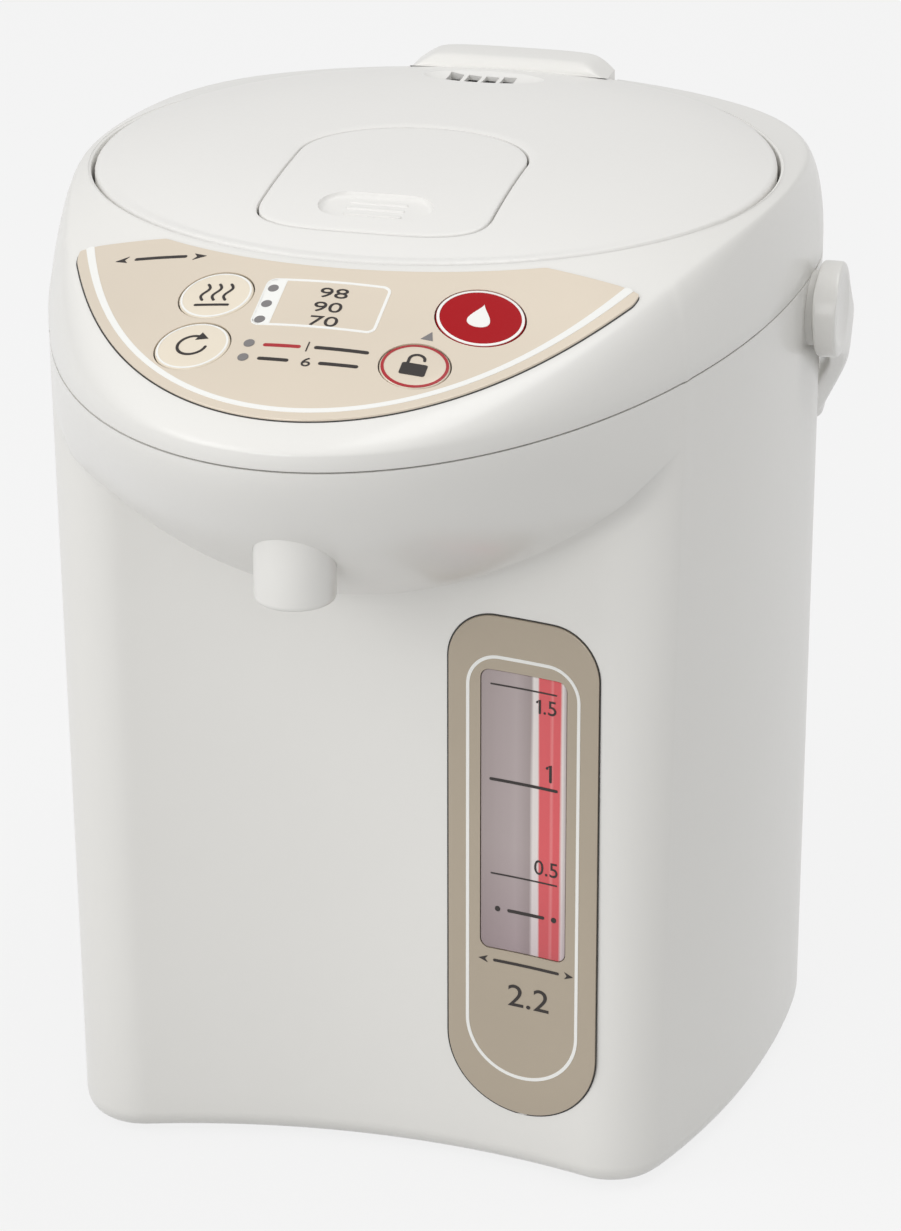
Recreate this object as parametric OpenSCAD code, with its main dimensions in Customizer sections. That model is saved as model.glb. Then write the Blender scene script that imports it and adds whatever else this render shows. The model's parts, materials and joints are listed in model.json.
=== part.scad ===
// Electric thermo pot with a pump, a water gauge, a hinged lid and a carrying handle.
// Millimetres. +Z is up, the front faces -Y, and the origin is on the floor below the
// middle of the round lid and of the inner vessel.

/* [Outer body] */
// Half width of the body at the seam below the top cover
seam_half_w = 98; // [90:0.5:106]
// Half width of the body at the floor
foot_half_w = 96.5; // [88:0.5:105]
// Distance from the widest place forward to the nose at the seam
seam_front_len = 186.5; // [170:0.5:200]
// Length of the ellipse that the lower sides follow
foot_front_len = 172; // [160:0.5:186]
// Distance from the widest place back to the rear wall
back_len = 75; // [70:0.5:90]
// Where the body is widest, behind the lid's middle
widest_y = 24; // [15:0.5:30]
// Roundness of the rear wall in plan: 2 is an ellipse, more is squarer
back_power = 2.5; // [2:0.1:4]
// Height of the seam between the body and the top cover
seam_z = 225.6; // [210:0.1:240]
// Visible gap between the body and the top cover
seam_gap = 0.4; // [0.2:0.1:0.8]
// Wall of the body and of the top cover
wall = 2.5; // [1.8:0.1:3]
// Radius of the rounded bottom edge
foot_round = 6; // [4:0.5:9]
// Height of the body's lower edge above the floor
foot_gap = 1.4; // [1:0.1:2]

/* [Hollowed front] */
// Radius of the hollow front face in plan
front_r = 200; // [160:1:260]
// How far the middle of the front face lies in front of the lid's middle
front_mid_y = 72.5; // [70.5:0.5:76]
// Radius of the two front corners
corner_r = 16; // [12:0.5:20]
// Height at which the beak leaves the middle of the front face
beak_low_z = 166; // [150:1:180]
// Height at which the beak dies out at the corners
beak_high_z = 209; // [200:1:216]
// Shape of the curve along which the beak leaves the face
beak_power = 1.9; // [1.4:0.1:2.6]
// Fullness of the beak's underside: 1 is a cone, 2 an ellipse
bowl_power = 1.45; // [1.2:0.05:2]
// Radius of the soft blend below the beak
beak_blend = 9; // [5:0.5:14]

/* [Top cover and lid] */
// Radius of the round well in which the lid sits
well_r = 91; // [86:0.1:92]
// Gap between the lid and its well
lid_gap = 0.9; // [0.6:0.1:1.5]
// Height of the well's upper edge
well_z = 256; // [252:0.5:260]
// Height of the ledge inside the well
ledge_z = 243; // [240:0.5:245]
// Radius of the throat that leads down to the vessel
throat_r = 77; // [75:0.5:79]
// Rise of the lid's crown over its edge
crown = 8.5; // [5:0.5:12]
// Shape of the crown: 2 is a parabola, more is flatter in the middle
crown_power = 2.6; // [2:0.1:4]
// Thickness of the lid's upper shell
lid_wall = 2.4; // [1.8:0.1:3]
// Slope of the control panel where it leaves the lid, as drop over run
panel_slope = 0.45; // [0.3:0.01:0.5]
// How much that slope falls off per millimetre
panel_ease = 0.004; // [0.002:0.0005:0.005]

/* [Lid hinge and latch] */
// How far the hinge pin lies inside the edge of the well
hinge_inset = 3; // [2:0.5:4]
// Height of the hinge pin over the well's upper edge
hinge_rise = 1; // [0.5:0.25:1.5]
// Radius of the hinge pin
hinge_pin_r = 2.5; // [2:0.1:3]
// Half width of the raised cover over the hinge
hump_half_w = 28; // [26:0.5:32]
// Height of that cover over the well's upper edge
hump_h = 9; // [8.5:0.25:12]
// Slope of that cover's top behind its level part, as drop over run
hump_fall = 0.385; // [0.3:0.005:0.4]
// Half width of the push plate
plate_half_w = 31.5; // [26:0.5:36]
// Half length of the push plate
plate_half_len = 38; // [30:0.5:40]
// Distance of the push plate's middle in front of the lid's middle
plate_mid_y = 36.5; // [33:0.5:40]
// Gap around the push plate
plate_gap = 0.5; // [0.4:0.1:1]

/* [Control panel] */
// Thickness of the panel sheet
film_t = 0.5; // [0.3:0.1:0.8]
// Radius of the dispense key
dispense_r = 11; // [9:0.5:12]
// Radius of the unlock key
unlock_r = 8.6; // [7:0.2:9]
// Radius of the two keys on the left
small_key_r = 9.4; // [8:0.2:10]
// Gap around each key
key_gap = 0.35; // [0.25:0.05:0.6]
// Travel of the keys
key_travel = 0.8; // [0.5:0.1:1]

/* [Water gauge] */
// Middle of the gauge from the pot's middle
gauge_x = 43.2; // [40:0.2:46]
// Width of the gauge plate
gauge_w = 42; // [36:0.5:44]
// Height of the gauge plate's lower end
gauge_low_z = 18; // [14:0.5:30]
// Height of the gauge plate's upper end
gauge_high_z = 159; // [150:0.5:162]
// Width of the window in the gauge plate
window_w = 24; // [18:0.5:28]
// Height of the window's lower edge
window_low_z = 65; // [60:0.5:72]
// Height of the window's upper edge
window_high_z = 144; // [130:0.5:148]
// Outer radius of the gauge tube
tube_r = 6.5; // [5:0.1:7]
// Distance of the gauge tube in front of the lid's middle
tube_y = 65; // [64:0.2:66]

/* [Handle] */
// Distance of the handle's pivots behind the lid's middle
pivot_y = 22; // [18:0.5:28]
// Height of the handle's pivots
pivot_z = 216; // [208:0.5:220]
// Radius of the round ends of the handle
ear_r = 14.6; // [12:0.2:16]
// Half width over the handle's round ends
ear_x = 108; // [106:0.5:112]
// Distance from the pivots to the middle of the grip
handle_len = 110; // [106:0.5:120]
// How far the handle rests below level
handle_rest = 31; // [28:1:40]
// Radius of the pivot pins
pivot_pin_r = 5; // [4:0.1:6]
// Half height of the arms
arm_half_h = 9; // [7:0.5:10]
// Half height of the grip
grip_half_h = 9; // [8:0.5:11]

/* [Vessel and pump] */
// Outer radius of the steel vessel
vessel_r = 66; // [62:0.5:66.5]
// Sheet thickness of the vessel
vessel_t = 0.8; // [0.6:0.1:1.2]
// Height of the vessel's bottom
vessel_low_z = 50; // [49:0.5:56]
// Distance of the pump's axis in front of the vessel's axis
pump_y = 24; // [20:0.5:28]
// Radius of the pump chamber
pump_r = 17; // [15:0.5:18]
// Radius of the spout nozzle
nozzle_r = 10.2; // [8:0.2:12]
// Distance of the nozzle in front of the lid's middle
nozzle_y = 138; // [134:0.5:142]
// Height of the nozzle's lower end
nozzle_low_z = 184; // [180:0.5:188]

/* [Hidden] */
$fn = 96;
eps = 0.01;
seat = 0.05;            // gap between pieces that lie face to face
fit = 0.3;              // gap between pieces of different bodies

// ---- outline of the body in plan ----
FRONT_N = 8;            // steps along half of the front face
CORNER_N = 6;           // steps round a corner
SIDE_N = 7;             // steps along a side, from the corner to the widest place
REAR_N = 10;            // steps from the widest place to the middle of the rear wall
corner_end = 68;        // direction in which a corner runs into the side
corner_mid_x = 66;      // first guess of the corner's middle, used for its depth
front_centre_y = -front_mid_y - front_r;

function lerp(a, b, t) = a + (b - a) * t;
function half_w(z) = lerp(foot_half_w, seam_half_w, z / seam_z);
function front_len(z) = lerp(foot_front_len, seam_front_len, z / seam_z);

// x of the side at a given y, for the outline at height z moved in by inset
function side_x(y, z, inset) =
    (half_w(z) - inset) * sqrt(1 - pow((y - widest_y) / (front_len(z) - inset), 2));
corner_mid_y = front_centre_y + sqrt(pow(front_r + corner_r, 2) - pow(corner_mid_x, 2));
corner_end_y = corner_mid_y - corner_r * cos(corner_end);
function corner_x(z) = side_x(corner_end_y, z, 0) - corner_r * sin(corner_end);
function corner_y(z) =
    front_centre_y + sqrt(pow(front_r + corner_r, 2) - pow(corner_x(z), 2));
function corner_start(z) = -asin(corner_x(z) / (front_r + corner_r));

// right half of the outline, from the middle of the front to the middle of the back
function front_pts(z, inset) =
    let (end_x = corner_x(z) * (front_r + inset) / (front_r + corner_r))
    [for (i = [0 : FRONT_N - 1]) let (x = end_x * i / FRONT_N)
        [x, front_centre_y + sqrt(pow(front_r + inset, 2) - x * x)]];
function corner_pts(z, inset) =
    let (a0 = corner_start(z), r = corner_r - inset)
    [for (i = [0 : CORNER_N]) let (a = lerp(a0, corner_end, i / CORNER_N))
        [corner_x(z) + r * sin(a), corner_y(z) - r * cos(a)]];
function side_pts(z, inset) =
    let (t0 = asin((corner_end_y - widest_y) / front_len(z)))
    [for (i = [1 : SIDE_N - 1]) let (t = t0 * (1 - i / SIDE_N))
        [(half_w(z) - inset) * cos(t), widest_y + (front_len(z) - inset) * sin(t)]];
function rear_pts(z, inset) =
    [for (i = [0 : REAR_N]) let (t = 90 * i / REAR_N, p = 2 / back_power)
        [(half_w(z) - inset) * pow(cos(t), p),
         widest_y + (back_len - inset) * pow(sin(t), p)]];
function half_outline(z, inset) = concat(front_pts(z, inset), corner_pts(z, inset),
    side_pts(z, inset), rear_pts(z, inset));
function both_halves(h) = concat(h,
    [for (i = [len(h) - 2 : -1 : 1]) [-h[i][0], h[i][1], h[i][2]]]);
RING_N = 2 * (FRONT_N + CORNER_N + SIDE_N + REAR_N);

// ---- the beak that pulls forward out of the front face ----
beak_edge_x = side_x(corner_end_y, beak_high_z, 0);
function nose_y(x, inset) = let (u = x / (seam_half_w - inset))
    widest_y - (seam_front_len - inset) * sqrt(max(0, 1 - u * u));
function beak_edge_z(x) =
    lerp(beak_low_z, beak_high_z, pow(min(1, abs(x) / beak_edge_x), beak_power));
function is_front(i) = i < FRONT_N + CORNER_N + 1;

// one row of the body's surface: [part, place, inset]. Part 0 is a fixed height, part 1 a
// share of the plain wall, part 2 an angle along the blend below the beak and part 3 an
// angle along the beak's underside.
function body_row(row) = both_halves([for (i = [0 : RING_N / 2])
    let (part = row[0], place = row[1], inset = row[2],
         rough_x = half_outline(beak_high_z, inset)[i][0],
         edge_z = (is_front(i) ? beak_edge_z(rough_x) : beak_high_z) + inset,
         z = part == 0 ? place
            : part == 1 ? lerp(foot_gap + foot_round, edge_z - beak_blend, place)
            : part == 2 ? edge_z - beak_blend * (1 - sin(place))
            : lerp(edge_z, shell_top_z, 1 - pow(cos(place), 2 / bowl_power)),
         p = half_outline(z, inset)[i],
         over = is_front(i) ? max(0, p[1] - nose_y(p[0], inset)) : 0,
         blend = min(beak_blend, 0.45 * over),
         out = part == 2 ? blend * (1 - cos(place))
            : part == 3 ? lerp(blend, over, pow(sin(place), 2 / bowl_power))
            : 0)
    [p[0], p[1] - out, z]]);

// a solid from rows of points that close on themselves both ways
module grid_ring(rows) {
    m = len(rows);
    n = len(rows[0]);
    polyhedron(points = [for (r = rows) each r], faces = [for (j = [0 : m - 1], i = [0 : n - 1])
        let (a = j * n + i, b = j * n + (i + 1) % n,
             c = ((j + 1) % m) * n + (i + 1) % n, d = ((j + 1) % m) * n + i)
        each [[a, d, b], [b, d, c]]]);
}
shell_top_z = seam_z - seam_gap / 2;
cover_low_z = seam_z + seam_gap / 2;
// rounded bottom edge, as [height, inset] in shares of its radius
FOOT_ROUND = [[0, 0.9], [0.12, 0.52], [0.38, 0.21], [0.68, 0.05]];

// ---- top of the pot ----
hinge_y = well_r - hinge_inset;
hinge_z = well_z + hinge_rise;
shoulder = 9;           // how far the flat top ends inside the outline, at most
shoulder_ease = 15;
throat_low_z = 225;
lid_r = well_r - lid_gap;
function lid_top(r) = well_z + crown * (1 - pow(min(1, abs(r) / lid_r), crown_power));
// distance from the middle to the seam outline in a direction, by the ellipse's equation
function nose_reach(dir) =
    let (c = cos(dir) / seam_half_w, s = sin(dir) / seam_front_len,
         k = widest_y / seam_front_len, a = c * c + s * s, b = s * k)
    (b + sqrt(b * b + a * (1 - k * k))) / a;
// where the flat top ends and the rounded shoulder begins
function panel_edge(reach) = reach - shoulder * (1 - exp(-(reach - well_r) / shoulder_ease));
function panel_grade(reach) = panel_slope * (1 - panel_ease * (panel_edge(reach) - well_r));
function panel_z(x, y) = let (reach = nose_reach(atan2(y, x)))
    well_z - panel_grade(reach) * (norm([x, y]) - well_r);
function panel_normal(x, y) = let (
    gx = panel_z(x + 0.5, y) - panel_z(x - 0.5, y),
    gy = panel_z(x, y + 0.5) - panel_z(x, y - 0.5)) [-gx, -gy, 1] / norm([gx, gy, 1]);

// places its children on the panel, turned so that their +Z is the panel's normal
module on_panel(at) {
    n = panel_normal(at[0], at[1]);
    translate([at[0], at[1], panel_z(at[0], at[1])])
        rotate([0, acos(n[2]), atan2(n[1], n[0])]) children();
}

// point of a curve with four guide points
function curve_at(g, t) = let (u = 1 - t)
    u * u * u * g[0] + 3 * t * u * u * g[1] + 3 * t * t * u * g[2] + t * t * t * g[3];
shoulder_start = 0.52;  // share of the way at which the shoulder's guide points lie
shoulder_end = 0.56;
// one column of the top cover: its closed section in one direction from the middle,
// from the inner foot of its outer wall round by the throat to the outer foot
function cover_column(p) =
    let (reach = norm(p), dir = p / reach, edge = panel_edge(reach), grade = panel_grade(reach),
         edge_z = well_z - grade * (edge - well_r), in_wall = well_r + wall,
         side = reach - wall, in_edge = max(in_wall + 0.2, edge - wall),
         in_edge_z = well_z - grade * (in_edge - well_r) - wall - 0.4,
         straight_z = cover_low_z + 4, run = reach - edge, far_z = edge_z - grade * run,
         shoulder_guide = [[edge, edge_z],
             [edge + shoulder_start * run, edge_z - shoulder_start * grade * run],
             [reach, lerp(straight_z, far_z, shoulder_end)], [reach, straight_z]])
    [for (q = concat(
        [[side, cover_low_z], [side, straight_z]],
        [for (a = [30, 60]) [lerp(side, in_edge, 1 - cos(a)), lerp(straight_z, in_edge_z, sin(a))]],
        [[in_edge, in_edge_z], [in_wall, well_z - grade * wall - wall - 0.8],
         [in_wall, ledge_z - wall], [throat_r + wall, ledge_z - wall],
         [throat_r + wall, throat_low_z], [throat_r - 1, throat_low_z], [throat_r - 1, ledge_z],
         [well_r - 1, ledge_z], [well_r - 1, well_z + grade],
         [lerp(well_r, edge, 0.5), lerp(well_z, edge_z, 0.5)]],
        [for (i = [0 : 5]) curve_at(shoulder_guide, i / 6)],
        [[reach, straight_z], [reach, cover_low_z]]))
    [dir[0] * q[0], dir[1] * q[0], q[1]]];
function seam_outline(inset) = both_halves([for (i = [0 : RING_N / 2])
    let (p = half_outline(seam_z, inset)[i])
    [p[0], is_front(i) ? min(p[1], nose_y(p[0], inset)) : p[1], 0]]);

// ---- places shared by several pieces ----
key_dispense_at = [38.4, -well_r - 14.5];
key_unlock_at = [27.6, -well_r - 36.5];
key_keep_warm_at = [-28.3, -well_r - 15.7];
key_reboil_at = [-28.5, -well_r - 35.6];
KEYS = [[key_dispense_at, dispense_r], [key_unlock_at, unlock_r],
    [key_keep_warm_at, small_key_r], [key_reboil_at, small_key_r]];
LAMPS = [for (d = [13.4, 19.5, 25.6, 34.8, 40.2]) [-14.4, -well_r - d]];
lamp_r = 1.6;
key_depth = 1.8;        // thickness of a key below the panel
stem_r = 2.2;
stem_len = 6;           // reach of a key's stem below the panel
board_mid_y = -well_r - 25;
board_drop = 12;        // depth of the control board below the panel's middle
board_t = 1.6;
board_z = panel_z(0, board_mid_y) - board_drop;
board_tilt = atan(panel_grade(nose_reach(-90)));
plate_back = 1.1;       // how deep the gauge plate is let into the front face
plate_proud = 0.5;      // how far it stands out of the face
pane_back = 3.7;        // depth of the inner face of the window pane
pane_edge = 2;          // rim of the pane behind the wall
FINE = 720;
plug_r = 62;            // radius of the lid's plug in the vessel's mouth
plug_low_z = 228;
rim_z = 224;            // top of the vessel's flange
rim_r = 75;
ring_top_z = 226.6;     // top of the ring on that flange
lid_low_z = 246;        // lower edge of the lid's upper shell
inner_t = 2.4;          // thickness of the inner lid's plate
plate_t = 2.4;          // thickness of the push plate
plate_axis_y = -5;
plate_axis_z = well_z + 1;
latch_z = 247.6;
latch_t = 2.2;
latch_half_w = 12;
latch_tip = 91.9;       // how far forward the latch's hook reaches
latch_travel = 3;
plate_tilt = 3.5;       // how far the push plate tips, in degrees
nose_half_w = 5;
nose_front_y = 2.5 - plate_mid_y - plate_half_len;  // front of the wedge under the push plate
nose_low_z = latch_z + latch_t + 0.8;
wedge_rate = latch_travel / (abs(nose_front_y + 1 - plate_axis_y) * sin(plate_tilt));
chamber_low_z = 24;
chamber_high_z = 36;
floor_z = foot_gap + 3; // upper face of the base plate
pipe_r = 5.2;
pipe_bore = 3.6;
tube_low_z = 42;
tube_high_z = 176;
valve_at = [14, -104];
valve_low_z = 198;
valve_high_z = 223;
nozzle_h = 24;
spout_run_z = 215;      // height of the pipe from the valve to the nozzle
boss_face_x = ear_x - 8.35;
inlet_z = 36;
inlet_w = 30;
inlet_h = 20;
pin_len = 9;
post_r = 4.6;
POSTS = [[-52, -36], [52, -36], [-44, 45], [44, 45]];
FEET = [[-62, -52], [62, -52], [-58, 64], [58, 64]];
foot_r = 8;
hump_top_z = well_z + hump_h;
hump_front_y = hinge_y - 10;
hump_room_y = hinge_y - 7.5;     // where the cut in the lid for the hinge begins
hump_level_y = hinge_y - 3.5;    // where the top starts to fall off
hump_back_y = hinge_y + 8;
vent_y = 56.5;          // middle of the steam slots
vent_hollow_r = 14;
vent_deep = 1.1;        // depth of the hollow that they open into
notch_half_w = hump_half_w + 0.6;
lug_inner_x = 17;
lug_outer_x = 20.8;
lug_half_y = 4;         // half depth of the posts under the lugs
lug_r = 4.6;
lug_room = 0.35;        // clearance round the lugs
lug_slot_w = lug_outer_x - lug_inner_x + 1.2;

// ---- shared shapes ----
function outline_2d(z, inset) = [for (p = both_halves(half_outline(z, inset))) [p[0], p[1]]];
module rod(a, b, r) {
    d = b - a;
    translate(a) rotate([0, acos(d[2] / norm(d)), atan2(d[1], d[0])]) cylinder(r = r, h = norm(d));
}
// a pipe of level and upright runs, which meet in the round blocks of its moulded elbows
elbow_share = 1.25;     // radius of an elbow's block over the pipe's
module pipe(pts, r) {
    for (i = [0 : len(pts) - 2]) rod(pts[i], pts[i + 1], r);
    for (i = [1 : len(pts) - 2]) translate(pts[i] - [0, 0, elbow_share * r])
        cylinder(r = elbow_share * r, h = 2 * elbow_share * r);
}
// its bore: the upright runs are drilled a little wider and past the level ones
module pipe_hole(pts, r) for (i = [0 : len(pts) - 2]) {
    step = (pts[i + 1] - pts[i]) / norm(pts[i + 1] - pts[i]);
    upright = abs(step[2]) > 0.5;
    past = upright ? r : 0;
    rod(pts[i] - step * (i == 0 ? 1 : past), pts[i + 1] + step * (i == len(pts) - 2 ? 1 : past),
        upright ? r + 0.25 : r);
}
// a flat shape given in x and z, drawn forward to the front of the pot
module facing_front(back_y, depth) translate([0, back_y, 0]) rotate([90, 0, 0])
    linear_extrude(depth) children();
// the layer of the hollow front between two depths behind its face
module front_layer(outer, inner) translate([0, front_centre_y, 0]) difference() {
    cylinder(r = front_r + inner, h = seam_z, $fn = FINE);
    translate([0, 0, -1]) cylinder(r = front_r + outer, h = seam_z + 2, $fn = FINE);
}
module rounded_box_2d(x, low, w, h, r) union() {
    translate([x - w / 2, low + r]) square([w, h - 2 * r]);
    translate([x - w / 2 + r, low]) square([w - 2 * r, h]);
    for (sx = [-1, 1], z = [low + r, low + h - r]) translate([x + sx * (w / 2 - r), z]) circle(r);
}
gauge_top_r = 13;
module gauge_outline(grow) union() {
    w = gauge_w / 2 + grow;
    top = gauge_high_z + grow;
    r = gauge_top_r + grow;
    translate([gauge_x, gauge_low_z + gauge_w / 2]) circle(w);
    translate([gauge_x - w, gauge_low_z + gauge_w / 2])
        square([2 * w, top - r - gauge_low_z - gauge_w / 2]);
    translate([gauge_x - w + r, top - 2 * r]) square([2 * (w - r), 2 * r]);
    for (s = [-1, 1]) translate([gauge_x + s * (w - r), top - r]) circle(r);
}
module window_outline(grow) rounded_box_2d(gauge_x, window_low_z - grow, window_w + 2 * grow,
    window_high_z - window_low_z + 2 * grow, 2.5 + grow);
module side_hole(r, x0, x1) for (s = [-1, 1]) translate([s * x0, pivot_y, pivot_z])
    rotate([0, s * 90, 0]) cylinder(r = r, h = x1 - x0);
// a bar along x at a height and a distance behind the middle
module bar(half_x, y, z, r) translate([-half_x, y, z]) rotate([0, 90, 0])
    cylinder(r = r, h = 2 * half_x);
module block(x0, x1, y0, y1, z0, z1) translate([x0, y0, z0]) cube([x1 - x0, y1 - y0, z1 - z0]);
module mid_block(half_x, y0, y1, z0, z1) block(-half_x, half_x, y0, y1, z0, z1);

// ---- housing ----
module body_shell() color([0.92, 0.91, 0.89]) difference() {
    union() {
        grid_ring(concat(
            [for (q = FOOT_ROUND) body_row([0, foot_gap + q[0] * foot_round, q[1] * foot_round])],
            [for (share = [0 : 0.25 : 1]) body_row([1, share, 0])],
            [for (a = [30 : 30 : 90]) body_row([2, a, 0])],
            [for (a = [12 : 13 : 90]) body_row([3, a, 0])],
            [for (a = [90, 60, 30]) body_row([3, a, wall])],
            [for (a = [90, 45]) body_row([2, a, wall])],
            [for (share = [1, 0]) body_row([1, share, wall])],
            [for (q = [FOOT_ROUND[1], FOOT_ROUND[0]])
                body_row([0, foot_gap + q[0] * foot_round, q[1] * foot_round + wall])]));
        side_hole(8, seam_half_w - wall / 2, boss_face_x);
    }
    side_hole(pivot_pin_r + seat, seam_half_w - 2 * wall, ear_x);
    translate([0, -nozzle_y, beak_low_z]) cylinder(r = nozzle_r + seat, h = seam_z - beak_low_z - 2);
    intersection() {
        facing_front(-front_mid_y + 4, 40) gauge_outline(0.15);
        front_layer(-10, plate_back + seat);
    }
    facing_front(-front_mid_y + 4, 40) window_outline(0.15);
    block(-inlet_w / 2 - 0.2, inlet_w / 2 + 0.2, widest_y + back_len - 2 * wall,
        widest_y + back_len + 5, inlet_z - inlet_h / 2 - 0.2, inlet_z + inlet_h / 2 + 0.2);
}

module top_cover() color([0.93, 0.92, 0.90]) difference() {
    union() {
        difference() {
            grid_ring([for (p = seam_outline(0)) cover_column([p[0], p[1]])]);
            translate([0, 0, throat_low_z - 1]) cylinder(r = throat_r, h = 40);
            translate([0, 0, ledge_z]) cylinder(r = well_r, h = 40);
            mid_block(notch_half_w, hinge_y - 16, hinge_y + 20, ledge_z - 1, well_z + 5);
        }
        mid_block(notch_half_w + 1, hinge_y - 3, widest_y + back_len - 1.2, ledge_z - wall - 0.5,
            ledge_z - 0.6);
        for (s = [-1, 1]) {
            translate([s * lug_inner_x, hinge_y, hinge_z]) rotate([0, s * 90, 0])
                cylinder(r = lug_r, h = lug_outer_x - lug_inner_x);
            block(min(s * lug_inner_x, s * lug_outer_x), max(s * lug_inner_x, s * lug_outer_x),
                hinge_y - lug_half_y, hinge_y + lug_half_y, ledge_z - 1, hinge_z);
        }
        // rib that the latch hooks under
        intersection() {
            mid_block(latch_half_w - 1, -well_r - 1, -well_r + 3, latch_z + latch_t + 0.3,
                latch_z + latch_t + 1.8);
            difference() {
                cylinder(r = well_r + wall, h = well_z);
                translate([0, 0, -1]) cylinder(r = lid_r + 0.35, h = well_z + 2);
            }
        }
    }
    bar(lug_outer_x + 5, hinge_y, hinge_z, hinge_pin_r + 0.03);
    // room for the latch's hook below and above its rib
    mid_block(latch_half_w + 0.5, -well_r - 1.6, -well_r + 3, latch_z - 0.4, latch_z + latch_t + 0.3);
    mid_block(latch_half_w + 0.5, -well_r - 1.6, -well_r - 0.9, latch_z - 0.4, well_z + 2);
    for (k = KEYS) on_panel(k[0]) translate([0, 0, -wall - 3]) cylinder(r = k[1] + key_gap, h = wall + 6);
    for (at = LAMPS) on_panel(at) translate([0, 0, -wall - 3]) cylinder(r = lamp_r + 0.2, h = wall + 6);
}

module base_plate() color([0.85, 0.84, 0.82]) difference() {
    union() {
        translate([0, 0, foot_gap]) linear_extrude(floor_z - foot_gap)
            polygon(outline_2d(foot_gap, 0.9 * foot_round + wall + 0.35));
        // stiffening ring and the two rails that hold the power board
        translate([0, 0, floor_z - eps]) difference() {
            cylinder(r = 62, h = 3);
            translate([0, 0, -1]) cylinder(r = 60, h = 5);
        }
        for (s = [-1, 1]) block(s * 37 - 2.5, s * 37 + 2.5, 73, 79, floor_z - eps, floor_z + 9);
    }
    for (at = POSTS) translate([at[0], at[1], foot_gap - 1]) {
        cylinder(r = 1.7, h = 10);
        cylinder(r = 3.6, h = 2.6);
    }
    for (at = POSTS) translate([at[0], at[1], floor_z]) cylinder(r = post_r + fit, h = 10);
    for (at = FEET) translate([at[0], at[1], foot_gap - 1]) cylinder(r = 3 + seat, h = 6);
    block(-34.7, 34.7 + 5, 75.1, 76.9, floor_z + 1, floor_z + 20);
    mirror([1, 0, 0]) block(-34.7, 34.7 + 5, 75.1, 76.9, floor_z + 1, floor_z + 20);
}

module feet() color([0.35, 0.35, 0.36]) for (at = FEET) translate([at[0], at[1], 0])
    rotate_extrude() polygon([[0, 0], [foot_r - 0.6, 0], [foot_r, 0.6], [foot_r, foot_gap - seat],
        [3, foot_gap - seat], [3, foot_gap + 2.6], [0, foot_gap + 2.6]]);

module base_screws() color([0.7, 0.71, 0.73]) for (at = POSTS)
    translate([at[0], at[1], foot_gap]) rotate_extrude()
        polygon([[0, 0.5], [1, 0.1], [3.2, 0.1], [3.2, 1.5], [1.5, 1.5], [1.5, 12], [0, 13]]);

module chassis() color([0.75, 0.76, 0.77]) difference() {
    union() {
        translate([0, 0, vessel_low_z - 9]) difference() {
            cylinder(r = 62, h = 2.5);
            translate([0, 0, -1]) cylinder(r = 47, h = 5);
        }
        for (at = POSTS) translate([at[0], at[1], floor_z + seat])
            cylinder(r = post_r, h = vessel_low_z - 9 - floor_z);
        for (a = [45 : 90 : 315]) rotate([0, 0, a]) translate([54, 0, vessel_low_z - 9])
            cylinder(r = 4, h = 9 - seat);
    }
    for (at = POSTS) translate([at[0], at[1], 0]) cylinder(r = 1.5 + seat, h = floor_z + 14);
}

// ---- vessel and heating ----
module inner_vessel() color([0.78, 0.79, 0.80]) difference() {
    rotate_extrude() difference() {
        union() {
            translate([0, vessel_low_z]) square([vessel_r - 10, rim_z - vessel_low_z]);
            translate([0, vessel_low_z + 10]) square([vessel_r, rim_z - vessel_low_z - 10]);
            intersection() {
                translate([vessel_r - 10, vessel_low_z + 10]) circle(10);
                square([vessel_r, rim_z]);
            }
            translate([0, rim_z - vessel_t]) square([rim_r, vessel_t]);
            translate([rim_r - vessel_t, rim_z - 3]) square([vessel_t, 3]);
        }
        difference() {
            translate([0, vessel_low_z + vessel_t]) square([vessel_r - vessel_t, rim_z]);
            difference() {
                translate([vessel_r - 10, vessel_low_z]) square([10, 10]);
                translate([vessel_r - 10, vessel_low_z + 10]) circle(10 - vessel_t);
            }
        }
    }
    translate([0, -pump_y, vessel_low_z - 1]) cylinder(r = 5, h = 4);
}
module vessel_ring() color([0.55, 0.56, 0.57]) translate([0, 0, rim_z + seat]) rotate_extrude()
    polygon([[vessel_r - 1, 0], [throat_r - 0.3, 0], [throat_r - 0.3, ring_top_z - rim_z],
        [vessel_r + 1, ring_top_z - rim_z], [vessel_r - 1, ring_top_z - rim_z - 1.2]]);
module mesh_filter() color([0.7, 0.71, 0.72]) translate([0, -pump_y, vessel_low_z + vessel_t + seat])
    difference() {
        union() {
            cylinder(r = 11, h = 1);
            cylinder(r = 8.5, h = 6);
        }
        translate([0, 0, -1]) cylinder(r = 7.7, h = 6.2);
        for (a = [0 : 30 : 330], z = [2.2, 4.2]) rotate([0, 0, a]) translate([6, 0, z])
            rotate([0, 90, 0]) cylinder(r = 0.6, h = 4, $fn = 16);
        for (a = [0 : 60 : 300]) rotate([0, 0, a]) translate([4.5, 0, 3]) cylinder(r = 1, h = 5, $fn = 16);
        translate([0, 0, 3]) cylinder(r = 1, h = 5, $fn = 16);
    }
module band_heater() color([0.72, 0.60, 0.45]) translate([0, 0, vessel_low_z + 13]) difference() {
    cylinder(r = vessel_r + 1.5, h = 28);
    translate([0, 0, -1]) cylinder(r = vessel_r + seat, h = 30);
    rotate([0, 0, 200]) block(50, 80, -3, 3, -1, 30);
}
module heater_plate() color([0.55, 0.52, 0.50]) translate([0, 0, vessel_low_z - 3.6 - seat])
    rotate_extrude() translate([43, 0]) circle(3.6);
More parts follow.
